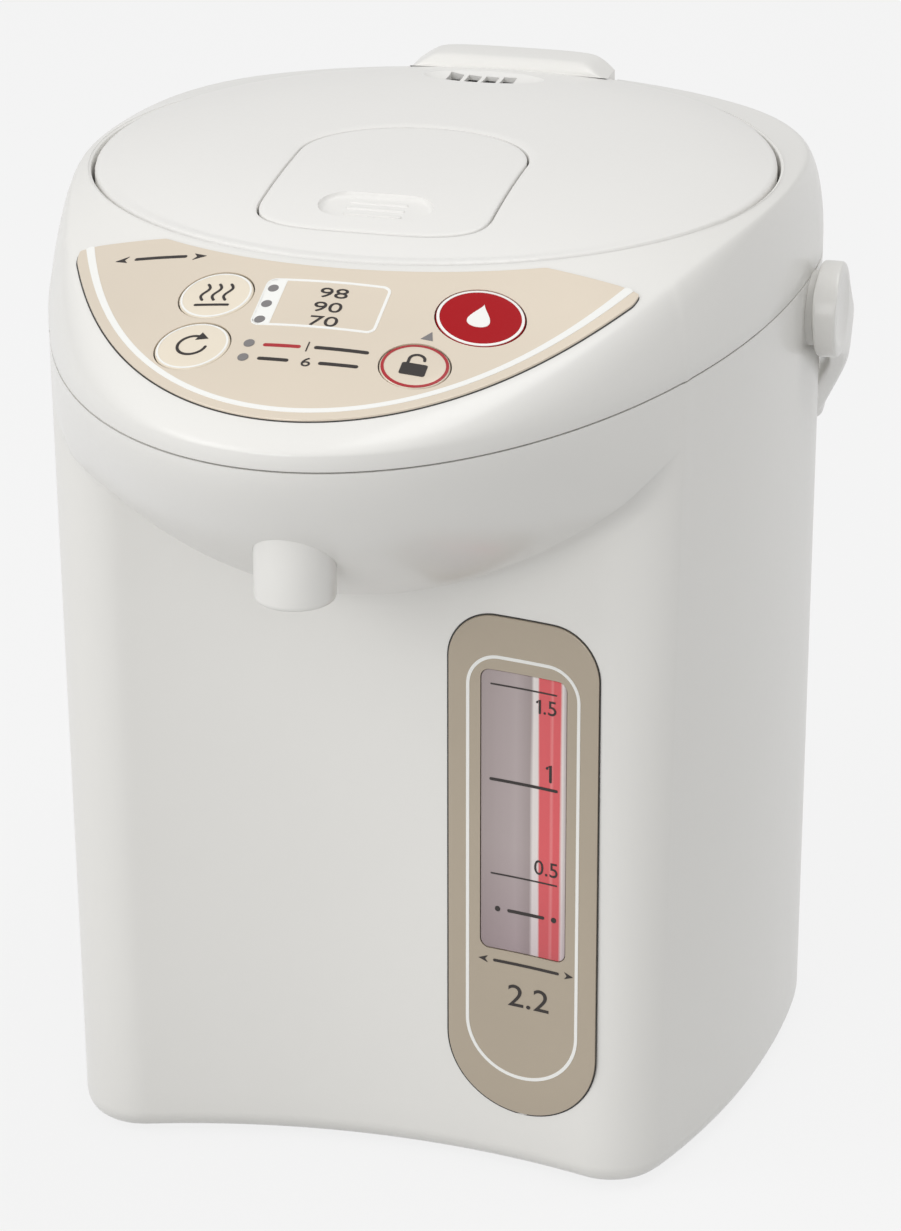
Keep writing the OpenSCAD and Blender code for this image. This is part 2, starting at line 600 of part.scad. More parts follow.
module thermostat() color([0.6, 0.62, 0.65]) translate([0, 22, vessel_low_z - seat]) {
    translate([0, 0, -6]) cylinder(r = 8, h = 6);
    translate([0, 0, -1.5]) cylinder(r = 10.5, h = 1.5);
    for (s = [-1, 1]) block(s * 4 - 0.4, s * 4 + 0.4, -3, 3, -12, -6 + eps);
}
module thermal_fuse() color([0.82, 0.8, 0.72]) translate([-26, 8, vessel_low_z - seat]) {
    translate([0, 0, -2]) rotate([90, 0, 0]) translate([0, 0, -8]) cylinder(r = 2, h = 16);
    block(-3.5, 3.5, -3, 3, -4.6, -3.6);
    for (s = [-1, 1]) block(s * 3 - 0.5, s * 3 + 0.5, -3, 3, -4.6, 0);
}
module insulation_wrap() color([0.86, 0.84, 0.78]) translate([0, 0, vessel_low_z + 45]) difference() {
    cylinder(r = vessel_r + 3.2, h = 118);
    translate([0, 0, -1]) cylinder(r = vessel_r + 0.2, h = 120);
}

// ---- pump and water way ----
module at_pump(z) translate([0, -pump_y, z]) children();
outlet_dir = [gauge_x, pump_y - tube_y] / norm([gauge_x, pump_y - tube_y]);
module suction_elbow() color([0.5, 0.5, 0.52]) difference() {
    union() {
        at_pump(chamber_high_z + 2 + seat) cylinder(r = 6, h = vessel_low_z - chamber_high_z - 2 - 2 * seat);
        at_pump(vessel_low_z - 2 - seat) cylinder(r = 9, h = 2);
    }
    at_pump(chamber_high_z) cylinder(r = 4.2, h = 20);
}
module pump_chamber() color([0.88, 0.87, 0.84]) difference() {
    union() {
        at_pump(chamber_low_z) cylinder(r = pump_r, h = chamber_high_z - chamber_low_z);
        rod([outlet_dir[0] * 12, -pump_y + outlet_dir[1] * 12, 30],
            [outlet_dir[0] * 23, -pump_y + outlet_dir[1] * 23, 30], pipe_bore - seat);
        for (a = [30, 150, 270]) at_pump(floor_z + seat) rotate([0, 0, a]) translate([pump_r + 1.5, 0, 0])
            cylinder(r = 2.4, h = chamber_high_z - floor_z - 2);
    }
    difference() {
        at_pump(chamber_low_z + 1.5) cylinder(r = pump_r - 2, h = 20);
        at_pump(chamber_low_z) cylinder(r = 1, h = 8.5);
    }
    rod([outlet_dir[0] * 10, -pump_y + outlet_dir[1] * 10, 30],
        [outlet_dir[0] * 30, -pump_y + outlet_dir[1] * 30, 30], pipe_bore - 1.2);
}
module impeller() color([0.3, 0.32, 0.36]) at_pump(chamber_low_z + 2.2) difference() {
    union() {
        cylinder(r = 12.5, h = 1.2);
        cylinder(r = 3, h = 7);
        for (a = [0 : 60 : 300]) rotate([0, 0, a]) block(2.5, 12, -0.6, 0.6, 1, 7);
    }
    translate([0, 0, -1]) cylinder(r = 1.05, h = 7.4);
}
module pump_cover() color([0.83, 0.82, 0.8]) at_pump(chamber_high_z + seat) difference() {
    cylinder(r = pump_r, h = 2 - seat);
    translate([0, 0, -1]) cylinder(r = 4.2, h = 5);
}
module motor_can() color([0.62, 0.63, 0.65]) at_pump(floor_z + seat) difference() {
    cylinder(r = 14, h = chamber_low_z - floor_z - 2 * seat);
    difference() {
        translate([0, 0, 1]) cylinder(r = 13, h = chamber_low_z - floor_z - 2);
        cylinder(r = 3, h = 2.5);
    }
    translate([0, 0, 0.6]) cylinder(r = 1.55, h = 5);
    translate([0, 0, chamber_low_z - floor_z - 4]) cylinder(r = 1.9, h = 10);
}
module motor_rotor() color([0.4, 0.36, 0.34]) at_pump(floor_z + seat) {
    translate([0, 0, 0.8]) cylinder(r = 1.5, h = chamber_low_z - floor_z - 1.4);
    translate([0, 0, 4]) cylinder(r = 10, h = 8);
    translate([0, 0, 13]) cylinder(r = 11.5, h = 4);
}
module outlet_pipe() color([0.6, 0.6, 0.58]) {
    start = [outlet_dir[0] * 17.4, -pump_y + outlet_dir[1] * 17.4, 30];
    way = [start, [gauge_x, -tube_y, 30], [gauge_x, -tube_y, tube_low_z + 8]];
    difference() {
        pipe(way, pipe_r);
        pipe_hole(way, pipe_bore);
    }
}
module gauge_tube() color([0.85, 0.9, 0.92, 0.5]) translate([gauge_x, -tube_y, tube_low_z]) difference() {
    cylinder(r = tube_r, h = tube_high_z - tube_low_z);
    translate([0, 0, -1]) cylinder(r = tube_r - 1, h = tube_high_z - tube_low_z + 2);
}
module tube_seals() color([0.25, 0.25, 0.26]) for (z = [tube_low_z - 1, tube_high_z - 6])
    translate([gauge_x, -tube_y, z]) difference() {
        cylinder(r = tube_r + 1.6, h = 7);
        translate([0, 0, -1]) cylinder(r = tube_r + seat, h = 9);
    }
module gauge_backing() color([0.72, 0.66, 0.66]) intersection() {
    translate([0, 0, window_low_z - 6]) difference() {
        cylinder(r = vessel_r + 4.5, h = window_high_z - window_low_z + 12);
        translate([0, 0, -1]) cylinder(r = vessel_r + 3.3, h = 200);
    }
    rotate([0, 0, atan2(-tube_y, gauge_x) - 14]) block(0, 90, 0, 90, 0, 200);
    rotate([0, 0, atan2(-tube_y, gauge_x) + 14 - 90]) block(0, 90, 0, 90, 0, 200);
}
module riser_elbow() color([0.6, 0.6, 0.58]) {
    way = [[gauge_x, -tube_y, tube_high_z - 7], [gauge_x, -tube_y, 190], [valve_at[0], valve_at[1], 190],
        [valve_at[0], valve_at[1], valve_low_z + 0.9]];
    difference() {
        pipe(way, pipe_r);
        pipe_hole(way, pipe_bore);
    }
}
module valve_housing() color([0.86, 0.85, 0.82]) translate([valve_at[0], valve_at[1], 0]) difference() {
    translate([0, 0, valve_low_z]) cylinder(r = 9, h = valve_high_z - valve_low_z);
    translate([0, 0, valve_low_z - 1]) cylinder(r = pipe_r + seat, h = 2);
    translate([0, 0, valve_low_z]) cylinder(r = pipe_bore, h = 5);
    translate([0, 0, valve_low_z + 3]) cylinder(r = 6.8, h = valve_high_z - valve_low_z - 5);
    translate([0, 0, spout_run_z]) rotate([0, 0, atan2(-nozzle_y - valve_at[1], -valve_at[0])])
        rotate([0, 90, 0]) cylinder(r = pipe_r + seat, h = 15);
}
module valve_ball() color([0.75, 0.76, 0.78]) translate([valve_at[0], valve_at[1], valve_low_z + 3.2 + 3.3])
    sphere(r = 4.6);
spout_dir = [-valve_at[0], -nozzle_y - valve_at[1]] / norm([-valve_at[0], -nozzle_y - valve_at[1]]);
module spout_pipe() color([0.6, 0.6, 0.58]) {
    way = [[valve_at[0] + spout_dir[0] * 7.4, valve_at[1] + spout_dir[1] * 7.4, spout_run_z],
        [0, -nozzle_y, spout_run_z],
        [0, -nozzle_y, nozzle_low_z + 12 + seat]];
    difference() {
        pipe(way, pipe_r);
        pipe_hole(way, pipe_bore);
    }
}
module spout_nozzle() color([0.92, 0.91, 0.89]) translate([0, -nozzle_y, nozzle_low_z]) difference() {
    rotate_extrude() difference() {
        union() {
            translate([0, 2]) square([nozzle_r, nozzle_h - 2]);
            square([nozzle_r - 2, nozzle_h]);
            translate([nozzle_r - 2, 2]) circle(2);
        }
        translate([-5, -1]) square([5, 40]);
    }
    translate([0, 0, -1]) cylinder(r = 4.5, h = 20);
    translate([0, 0, -1]) cylinder(r1 = 8.4, r2 = 4.4, h = 4);
    translate([0, 0, 12]) cylinder(r = pipe_r + seat, h = 20);
    translate([0, 0, 20]) cylinder(r = 1.25 * pipe_r, h = 20);
}

// ---- gauge on the front face ----
module gauge_plate() color([0.80, 0.75, 0.68]) difference() {
    intersection() {
        facing_front(-front_mid_y + 4, 40) gauge_outline(0);
        front_layer(-plate_proud, plate_back);
    }
    facing_front(-front_mid_y + 4, 40) window_outline(0.15);
}
module gauge_window() color([0.75, 0.72, 0.74, 0.6]) {
    intersection() {
        facing_front(-front_mid_y + 4, 40) window_outline(0);
        front_layer(-plate_proud + 0.2, wall + 0.3);
    }
    intersection() {
        facing_front(-front_mid_y + 8, 40) window_outline(pane_edge);
        front_layer(wall + seat, pane_back);
    }
}

// ---- control panel ----
FILM_N = 36;
film_seat = 0.18;
film_half_deg = 42;
film_end_share = 0.05;
film_low_r = well_r + 4;    // radius of its upper edge along the well
film_wing_x = 49;       // where that edge goes over into the straight wings
film_wing_y = -sqrt(film_low_r * film_low_r - film_wing_x * film_wing_x);
film_fall = (12 - well_r - film_wing_y) / (73 - film_wing_x);
// distance of its upper edge in a direction: an arc along the well, then a straight line
function film_upper(dir) = film_low_r * abs(cos(dir)) < film_wing_x ? film_low_r :
    (film_fall * film_wing_x - film_wing_y) / (film_fall * abs(cos(dir)) - sin(dir));
// a closed section of the panel sheet in one direction; its ends are rounded
function film_column(dir) =
    let (reach = nose_reach(dir), t = abs(dir + 90) / film_half_deg,
         open = sqrt(max(0.004, 1 - pow(max(0, t - 1 + film_end_share) / film_end_share, 2))),
         r_in = film_upper(dir), r_out = panel_edge(reach) - 0.6, mid = (r_in + r_out) / 2,
         half = (r_out - r_in) / 2 * open)
    [for (q = [[mid - half, film_seat], [mid - half, film_t + film_seat],
               [mid + half, film_t + film_seat], [mid + half, film_seat]])
        let (x = q[0] * cos(dir), y = q[0] * sin(dir)) [x, y, panel_z(x, y) + q[1]]];
module panel_sheet() {
    cols = [for (i = [0 : FILM_N])
        film_column(-90 + film_half_deg * sin(90 * (2 * i / FILM_N - 1)))];
    polyhedron(points = [for (c = cols) each c], faces = concat(
        [[0, 1, 2], [0, 2, 3]],
        [let (e = 4 * FILM_N) each [[e + 2, e + 1, e], [e + 3, e + 2, e]]],
        [for (j = [0 : FILM_N - 1], i = [0 : 3])
            let (a = 4 * j + i, b = 4 * j + (i + 1) % 4, c = b + 4, d = a + 4)
            each [[a, d, b], [b, d, c]]]));
}
module panel_film() color([0.80, 0.75, 0.68]) difference() {
    panel_sheet();
    for (k = KEYS) on_panel(k[0]) translate([0, 0, -3]) cylinder(r = k[1] + key_gap, h = 6);
}
module key(at, r) on_panel(at) {
    translate([0, 0, -key_depth]) cylinder(r = r, h = key_depth + film_t + 0.4);
    translate([0, 0, -stem_len]) cylinder(r = stem_r, h = stem_len - key_depth + eps);
}
module key_dispense() color([0.74, 0.13, 0.19]) key(key_dispense_at, dispense_r);
module key_unlock() color([0.80, 0.75, 0.68]) key(key_unlock_at, unlock_r);
module key_keep_warm() color([0.88, 0.85, 0.80]) key(key_keep_warm_at, small_key_r);
module key_reboil() color([0.86, 0.83, 0.78]) key(key_reboil_at, small_key_r);
module on_board() translate([0, board_mid_y, board_z]) rotate([board_tilt, 0, 0]) children();
module control_board() color([0.10, 0.38, 0.22]) difference() {
    on_board() translate([0, 0, -board_t]) linear_extrude(board_t)
        polygon([[-57, 19], [57, 19], [50, -3], [40, -19], [-40, -19], [-50, -3]]);
    // clear of the throat and of the valve below
    cylinder(r = throat_r + wall + 1, h = 300);
    for (s = [-1, 1]) on_board() translate([s * 44, 9, -5]) cylinder(r = 1.6, h = 10);
}
module above_board() difference() {
    children();
    on_board() translate([-100, -100, -60]) cube([200, 200, 60 + seat]);
}
module key_switches() color([0.15, 0.15, 0.16]) above_board() for (k = KEYS) on_panel(k[0])
    translate([0, 0, -20]) cylinder(r = 3.2, h = 20 - stem_len - key_travel - 0.35);
module lamps() color([0.95, 0.95, 0.9]) above_board() for (at = LAMPS) on_panel(at)
    translate([0, 0, -20]) cylinder(r = lamp_r, h = 20);

// ---- mains side ----
module power_board() color([0.12, 0.35, 0.2]) {
    block(-38.5, 38.5, 75.2, 76.8, floor_z + 1.1, floor_z + 42);
    color([0.2, 0.2, 0.22]) block(-36, -18, 76.8 - eps, 88, floor_z + 16, floor_z + 32);
    color([0.3, 0.3, 0.5]) for (x = [0, 12]) translate([x, 76.8 - eps, floor_z + 30])
        rotate([-90, 0, 0]) cylinder(r = 4.5, h = 6);
    color([0.85, 0.85, 0.8]) block(20, 34, 76.8 - eps, 86, floor_z + 26, floor_z + 38);
}
module inlet_socket() color([0.3, 0.3, 0.31]) difference() {
    back = widest_y + back_len;
    union() {
        mid_block(inlet_w / 2, back - 13, back + 0.3, inlet_z - inlet_h / 2, inlet_z + inlet_h / 2);
        mid_block(inlet_w / 2 + 2.5, back + seat, back + 1.4, inlet_z - inlet_h / 2 - 2.5,
            inlet_z + inlet_h / 2 + 2.5);
    }
    mid_block(inlet_w / 2 - 3, back - 9, back + 5, inlet_z - inlet_h / 2 + 3, inlet_z + inlet_h / 2 - 3);
    for (s = [-1, 1]) translate([s * 5.5, back - 20, inlet_z]) rotate([-90, 0, 0])
        cylinder(r = 1.6 + seat, h = 20);
}
module inlet_pins() color([0.8, 0.7, 0.4]) for (s = [-1, 1])
    translate([s * 5.5, widest_y + back_len - 16, inlet_z]) rotate([-90, 0, 0]) {
        cylinder(r = 1.6, h = pin_len);
        translate([0, 0, pin_len - eps]) sphere(r = 1.6);
    }

// ---- carrying handle ----
bend_start = 16;        // where the arms begin to lean inward
bend_soft = 8;
bend_rate = 0.24;
arm_t = 6.4;            // thickness of the arms
ear_t = 7.6;            // thickness of the round ends
end_s = handle_len + 8.5;
function lean(s) = bend_rate * (sqrt(pow(s - bend_start, 2) + bend_soft * bend_soft)
    + s - bend_start) / 2;
function arm_out(s) = ear_x - lean(s);
function arm_in(s) = arm_out(s) - lerp(arm_t, ear_t, 1 / (1 + exp((s - 20) / 3)));
elbow_r = 24;           // outer radius of the handle's two corners
elbow_s = end_s - elbow_r;
grip_t = 15;            // depth of the grip from its outer to its inner edge
inner_elbow_r = 12;
inner_s = end_s - grip_t;
arm_steps = [for (i = [0 : 12]) i / 12];
corner_steps = [for (a = [10 : 10 : 80]) a];
function handle_edge() = let (
    out_x = arm_out(elbow_s) - elbow_r, in_x = arm_in(inner_s - inner_elbow_r) - inner_elbow_r)
    concat(
        [for (t = arm_steps) let (s = lerp(-ear_r, elbow_s, t)) [arm_out(s), s]],
        [for (a = corner_steps) [out_x + elbow_r * cos(a), elbow_s + elbow_r * sin(a)]],
        [[out_x, end_s], [-out_x, end_s]],
        [for (a = corner_steps) [-out_x - elbow_r * sin(a), elbow_s + elbow_r * cos(a)]],
        [for (t = arm_steps) let (s = lerp(elbow_s, -ear_r, t)) [-arm_out(s), s]],
        [for (t = arm_steps) let (s = lerp(-ear_r, inner_s - inner_elbow_r, t)) [-arm_in(s), s]],
        [for (a = corner_steps) [-in_x - inner_elbow_r * cos(a),
            inner_s - inner_elbow_r + inner_elbow_r * sin(a)]],
        [[-in_x, inner_s], [in_x, inner_s]],
        [for (a = corner_steps) [in_x + inner_elbow_r * sin(a),
            inner_s - inner_elbow_r + inner_elbow_r * cos(a)]],
        [for (t = arm_steps) let (s = lerp(inner_s - inner_elbow_r, -ear_r, t)) [arm_in(s), s]]);
module handle_side_2d() union() {
    circle(ear_r);
    waist = ear_r * 0.86;
    polygon([[ear_r * 0.5, -waist], [ear_r * 1.6, -arm_half_h], [inner_s, -grip_half_h],
        [inner_s, grip_half_h], [ear_r * 1.6, arm_half_h], [ear_r * 0.5, waist]]);
    translate([inner_s - eps, -grip_half_h + 6]) square([grip_t + eps, 2 * grip_half_h - 12]);
    translate([inner_s - eps, -grip_half_h]) square([grip_t - 6, 2 * grip_half_h]);
    for (s = [-1, 1]) translate([end_s - 6, s * (grip_half_h - 6)]) circle(6);
}
module in_handle() translate([0, pivot_y, pivot_z]) rotate([-handle_rest, 0, 0]) children();
module handle() color([0.93, 0.92, 0.90]) in_handle() difference() {
    intersection() {
        translate([0, 0, -ear_r - 1]) linear_extrude(2 * ear_r + 2) polygon(handle_edge());
        rotate([90, 0, 90]) translate([0, 0, -ear_x - 1]) linear_extrude(2 * ear_x + 2)
            handle_side_2d();
    }
    for (s = [-1, 1]) {
        rotate([0, s * 90, 0]) cylinder(r = pivot_pin_r + 0.06, h = ear_x - 2.6);
        translate([s * (ear_x - 0.8), 0, 0]) rotate([0, s * 90, 0]) cylinder(r = ear_r - 4, h = 5);
    }
    // finger grooves under the grip
    for (x = [-30 : 20 : 30]) translate([x, inner_s - 2.4, 0]) cylinder(r = 5, h = 60, center = true);
}
module handle_pivots() color([0.62, 0.63, 0.65]) for (s = [-1, 1])
    translate([s * (seam_half_w - wall - 3), pivot_y, pivot_z]) rotate([0, s * 90, 0]) {
        cylinder(r = 8, h = 2.6);
        cylinder(r = pivot_pin_r, h = ear_x - 3 - seam_half_w + wall + 3);
    }

// ---- lid ----
function dome_pts(drop, r_max) = [for (i = [0 : 12]) let (r = r_max * i / 12) [r, lid_top(r) - drop]];
module plate_outline(grow) translate([0, -plate_mid_y]) polygon([for (a = [0 : 6 : 354])
    let (p = 2 / 3.2, c = cos(a), s = sin(a))
    [sign(c) * pow(abs(c), p) * (plate_half_w + grow), sign(s) * pow(abs(s), p) * (plate_half_len + grow)]]);
module lid_cover() color([0.93, 0.92, 0.90]) difference() {
    rotate_extrude() polygon(concat(dome_pts(0, lid_r - 0.8),
        [[lid_r, well_z - 1], [lid_r, lid_low_z], [lid_r - lid_wall, lid_low_z]],
        [for (i = [12 : -1 : 0]) dome_pts(lid_wall, lid_r - lid_wall)[i]]));
    translate([0, 0, 240]) linear_extrude(60) plate_outline(0);
    mid_block(hump_half_w + 0.3, hump_room_y, hinge_y + 20, lid_low_z - 1, well_z + crown);
    mid_block(latch_half_w + 0.4, -lid_r - 1, -lid_r + 6, lid_low_z - 1, latch_z + latch_t + 0.4);
    // steam outlets in a shallow hollow
    for (i = [-1.5 : 1 : 1.5]) translate([i * 5.2, vent_y, well_z + 4]) rotate([0, 0, -24])
        cube([3.2, 6.5, 20], center = true);
    bar(15, vent_y + 0.5, lid_top(vent_y) - vent_deep + vent_hollow_r, vent_hollow_r);
}
module push_plate() color([0.93, 0.92, 0.90]) difference() {
    union() {
        intersection() {
            rotate_extrude() polygon(concat(dome_pts(0, lid_r - 0.8),
                [for (i = [12 : -1 : 0]) dome_pts(plate_t, lid_r - 0.8)[i]]));
            translate([0, 0, 240]) linear_extrude(60) plate_outline(-plate_gap);
        }
        for (s = [-1, 1]) {
            block(s * 20 - 1.5, s * 20 + 1.5, plate_axis_y - 2.4, plate_axis_y + 1.6, plate_axis_z,
                lid_top(21.5) - plate_t / 2);
            translate([s * 20, plate_axis_y, plate_axis_z]) rotate([0, 90, 0])
                cylinder(r = 2.6, h = 3, center = true);
            translate([s * 18.5, plate_axis_y, plate_axis_z]) rotate([0, s * 90, 0])
                cylinder(r = 1.5, h = 7.4);
        }
        // wedge that drives the latch back as the plate goes down
        translate([-nose_half_w, 0, 0]) rotate([90, 0, 90]) linear_extrude(2 * nose_half_w) polygon([
            [nose_front_y, nose_low_z], [nose_front_y + 0.8, nose_low_z],
            [nose_front_y + 0.8 + 5.5 * wedge_rate, nose_low_z + 5.5],
            [nose_front_y + 6, lid_top(nose_front_y + 6) - plate_t / 2],
            [nose_front_y, lid_top(nose_front_y) - plate_t / 2]]);
    }
    // finger hollow near the front edge, with three raised bars
    intersection() {
        rotate_extrude() polygon(concat([[0, 300]], dome_pts(1.3, lid_r - 0.8), [[lid_r - 0.8, 300]]));
        translate([0, -60, 240]) linear_extrude(60) difference() {
            union() {
                square([17, 14], center = true);
                for (s = [-1, 1]) translate([s * 8.5, 0]) circle(7);
            }
            for (y = [-3.4, 0, 3.4]) translate([0, y]) square([15, 1.2], center = true);
        }
    }
}
module plate_spring() color([0.6, 0.6, 0.62]) translate([0, -46, lid_low_z]) difference() {
    cylinder(r = 4, h = lid_top(50.5) - plate_t - lid_low_z - 0.1);
    translate([0, 0, -1]) cylinder(r = 3.2, h = 40);
}
module latch_slide() color([0.88, 0.87, 0.85]) difference() {
    union() {
        intersection() {
            mid_block(latch_half_w, -latch_tip - 2, -62, latch_z, latch_z + latch_t);
            cylinder(r = latch_tip, h = 300);
        }
        mid_block(7, -64, -60, latch_z, latch_z + latch_t + 2);
    }
    // slot for the push plate's wedge
    mid_block(nose_half_w + 0.3, nose_front_y - latch_travel - 0.4, nose_front_y + 1.3, latch_z - 1,
        latch_z + latch_t + 1);
}
module latch_spring() color([0.6, 0.6, 0.62]) translate([0, -60 + seat, latch_z + 2.4]) rotate([-90, 0, 0])
    difference() {
        cylinder(r = 1.8, h = 4.2 - 2 * seat);
        translate([0, 0, -1]) cylinder(r = 1.2, h = 10);
    }
module inner_lid() color([0.80, 0.80, 0.79]) difference() {
    union() {
        rotate_extrude() polygon([[0, plug_low_z], [plug_r - 2, plug_low_z], [plug_r, plug_low_z + 2],
            [plug_r, lid_low_z - seat - inner_t], [lid_r - 0.5, lid_low_z - seat - inner_t],
            [lid_r - 0.5, lid_low_z - seat], [0, lid_low_z - seat],
            [0, lid_low_z - seat - inner_t], [plug_r - 2, lid_low_z - seat - inner_t],
            [plug_r - 2, plug_low_z + 2.4], [plug_r - 3, plug_low_z + 1.4], [0, plug_low_z + 1.4]]);
        for (s = [-1, 1]) block(s * 24.2 - 1.8, s * 24.2 + 1.8, plate_axis_y - 3, plate_axis_y + 3,
            lid_low_z - 1, plate_axis_z + 3);
        mid_block(6, -55.8 + 0.1, -53.6, lid_low_z - 1, latch_z + 5);
        // ribs that the latch slides on and rails beside it
        for (s = [-1, 1]) {
            block(s * 9 - 0.8, s * 9 + 0.8, -86, -62, lid_low_z - 1, latch_z - 0.1);
            block(s * (latch_half_w + 1.3) - 1, s * (latch_half_w + 1.3) + 1, -84, -62, lid_low_z - 1,
                latch_z + latch_t);
        }
    }
    mid_block(hump_half_w + 0.6, hinge_y - 10, hinge_y + 20, 230, 260);
    bar(40, plate_axis_y, plate_axis_z, 1.56);
    translate([0, vent_y, lid_low_z - 8]) cylinder(r = 3.4, h = 20);
    // rib-side steam holes in the plug's bottom
    for (a = [0 : 45 : 315]) rotate([0, 0, a]) translate([9, 0, plug_low_z - 1]) cylinder(r = 1.6, h = 4);
}
module lid_gasket() color([0.62, 0.62, 0.63]) translate([0, 0, ring_top_z + 0.3])
    rotate_extrude() polygon([[plug_r + 0.1, 1.6], [plug_r + 0.1, 5], [plug_r + 2.6, 5], [plug_r + 3, 3.2],
        [vessel_r + 3, 1.2], [vessel_r + 3, 0], [vessel_r + 1.2, 0]]);
module steam_valve() color([0.3, 0.3, 0.31]) translate([0, vent_y, lid_low_z]) difference() {
    cylinder(r = 8, h = 11.2);
    translate([0, 0, -1]) cylinder(r = 3.4, h = 5);
    translate([0, 0, 2.4]) cylinder(r = 5.6, h = 7.6);
    for (a = [0 : 60 : 300]) rotate([0, 0, a]) translate([3.4, 0, 5]) cylinder(r = 1.2, h = 10);
}
module steam_ball() color([0.8, 0.8, 0.82]) translate([0, vent_y, lid_low_z + 2.4 + 3.3]) sphere(r = 4);

// ---- lid hinge ----
module hinge_bracket() color([0.72, 0.73, 0.75]) difference() {
    union() {
        bar(lug_inner_x - 0.4, hinge_y, hinge_z, 4.6);
        mid_block(lug_inner_x - 0.4, hinge_y - 22, hinge_y - 1, lid_low_z + seat, lid_low_z + 2.6);
        mid_block(lug_inner_x - 0.4, hinge_y - 4.6, hinge_y - 1, lid_low_z + 1, hinge_z);
    }
    bar(30, hinge_y, hinge_z, hinge_pin_r + 0.05);
}
module hinge_pin() color([0.75, 0.76, 0.78]) bar(lug_outer_x + 1.1, hinge_y, hinge_z, hinge_pin_r);
function hump_top(y) = hump_top_z - hump_fall * max(0, y - hump_level_y);
module side_view(half_x, pts) rotate([90, 0, 90]) translate([0, 0, -half_x])
    linear_extrude(2 * half_x) polygon(pts);
module front_view(pts) translate([0, 130, 0]) rotate([90, 0, 0]) linear_extrude(90)
    polygon(concat(pts, [for (i = [len(pts) - 1 : -1 : 0]) [-pts[i][0], pts[i][1]]]));
module hinge_cover() color([0.93, 0.92, 0.90]) difference() {
    intersection() {
        side_view(hump_half_w + 1, [
            [hump_front_y, well_z], [hump_front_y, well_z + 3.4],
            [hump_front_y + 0.8, well_z + 4.8], [hump_level_y - 3, hump_top_z - 1.4],
            [hump_level_y - 1.4, hump_top_z - 0.4], [hump_level_y + 0.6, hump_top(hump_level_y + 0.6)], [hump_back_y - 1.2, hump_top(hump_back_y - 1.2)],
            [hump_back_y, hump_top(hump_back_y) - 0.8],
            [hump_back_y, lid_low_z + 0.3], [hinge_y - 5.4, lid_low_z + 0.3],
            [hinge_y - 5.4, lid_low_z + 3.4], [hump_room_y + 0.4, lid_low_z + 3.4]]);
        front_view([[hump_half_w, lid_low_z - 1], [hump_half_w, well_z + 2.5],
            [hump_half_w - 4.3, hump_top_z - 3], [hump_half_w - 7.2, hump_top_z - 0.7],
            [hump_half_w - 10, hump_top_z + 0.2]]);
    }
    // seat on the lid's crown
    difference() {
        translate([0, 0, 230]) cylinder(r = 120, h = 40);
        union() {
            mid_block(60, hump_room_y + 0.2, 130, 220, 290);
            rotate_extrude() polygon(concat([[0, 300]], [for (p = dome_pts(-seat, lid_r - 0.8)) p],
                [[lid_r - 0.8, 300]]));
        }
    }
    // room for the hinge under a roof that clears the lugs
    intersection() {
        roof_z = hinge_z + (lug_r + lug_room) * sqrt(1 + hump_fall * hump_fall);
        high_z = hump_top_z - 2.4;
        back = hump_back_y - 2.2;
        side_view(hump_half_w, [[hump_room_y + 1, 220], [hump_room_y + 1, high_z - 1.6],
            [hump_room_y + 2.6, high_z], [hinge_y - (high_z - roof_z) / hump_fall, high_z], [back, roof_z - hump_fall * (back - hinge_y)],
            [back, 220]]);
        front_view([[hump_half_w - 2.8, 220], [hump_half_w - 2.8, well_z + 3.1],
            [hump_half_w - 7.1, high_z], [hump_half_w - 7.1, high_z + 1]]);
    }
    // slots in the back wall, which pass the lugs' posts as the lid opens
    for (s = [-1, 1]) translate([s * (lug_inner_x + lug_outer_x) / 2, hump_back_y, 220])
        translate([-lug_slot_w / 2, -4, 0]) cube([lug_slot_w, 10, hinge_z + lug_half_y - 220]);
}

body_shell();
top_cover();
base_plate();
feet();
base_screws();
chassis();
inner_vessel();
vessel_ring();
mesh_filter();
band_heater();
heater_plate();
thermostat();
thermal_fuse();
insulation_wrap();
suction_elbow();
pump_chamber();
impeller();
pump_cover();
motor_can();
motor_rotor();
outlet_pipe();
gauge_tube();
tube_seals();
gauge_backing();
riser_elbow();
valve_housing();
valve_ball();
spout_pipe();
spout_nozzle();
gauge_plate();
gauge_window();
panel_film();
key_dispense();
key_unlock();
key_keep_warm();
key_reboil();
control_board();
key_switches();
lamps();
power_board();
inlet_socket();
inlet_pins();
handle();
handle_pivots();
lid_cover();
push_plate();
plate_spring();
latch_slide();
latch_spring();
inner_lid();
lid_gasket();
steam_valve();
steam_ball();
hinge_bracket();
hinge_pin();
hinge_cover();
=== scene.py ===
# %% [markdown]
# # An electric thermo pot, piece by piece
# The pot stands on a pale table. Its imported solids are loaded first: they give every place and
# every moving body. Around them come the smooth visible skins, worked out as grids of points.
# A grid is chosen over sculpting because moulded plastic follows a few plain curves.
# %% The frame
import json
import math
import bmesh
import bpy
import numpy as np
from mathutils import Matrix

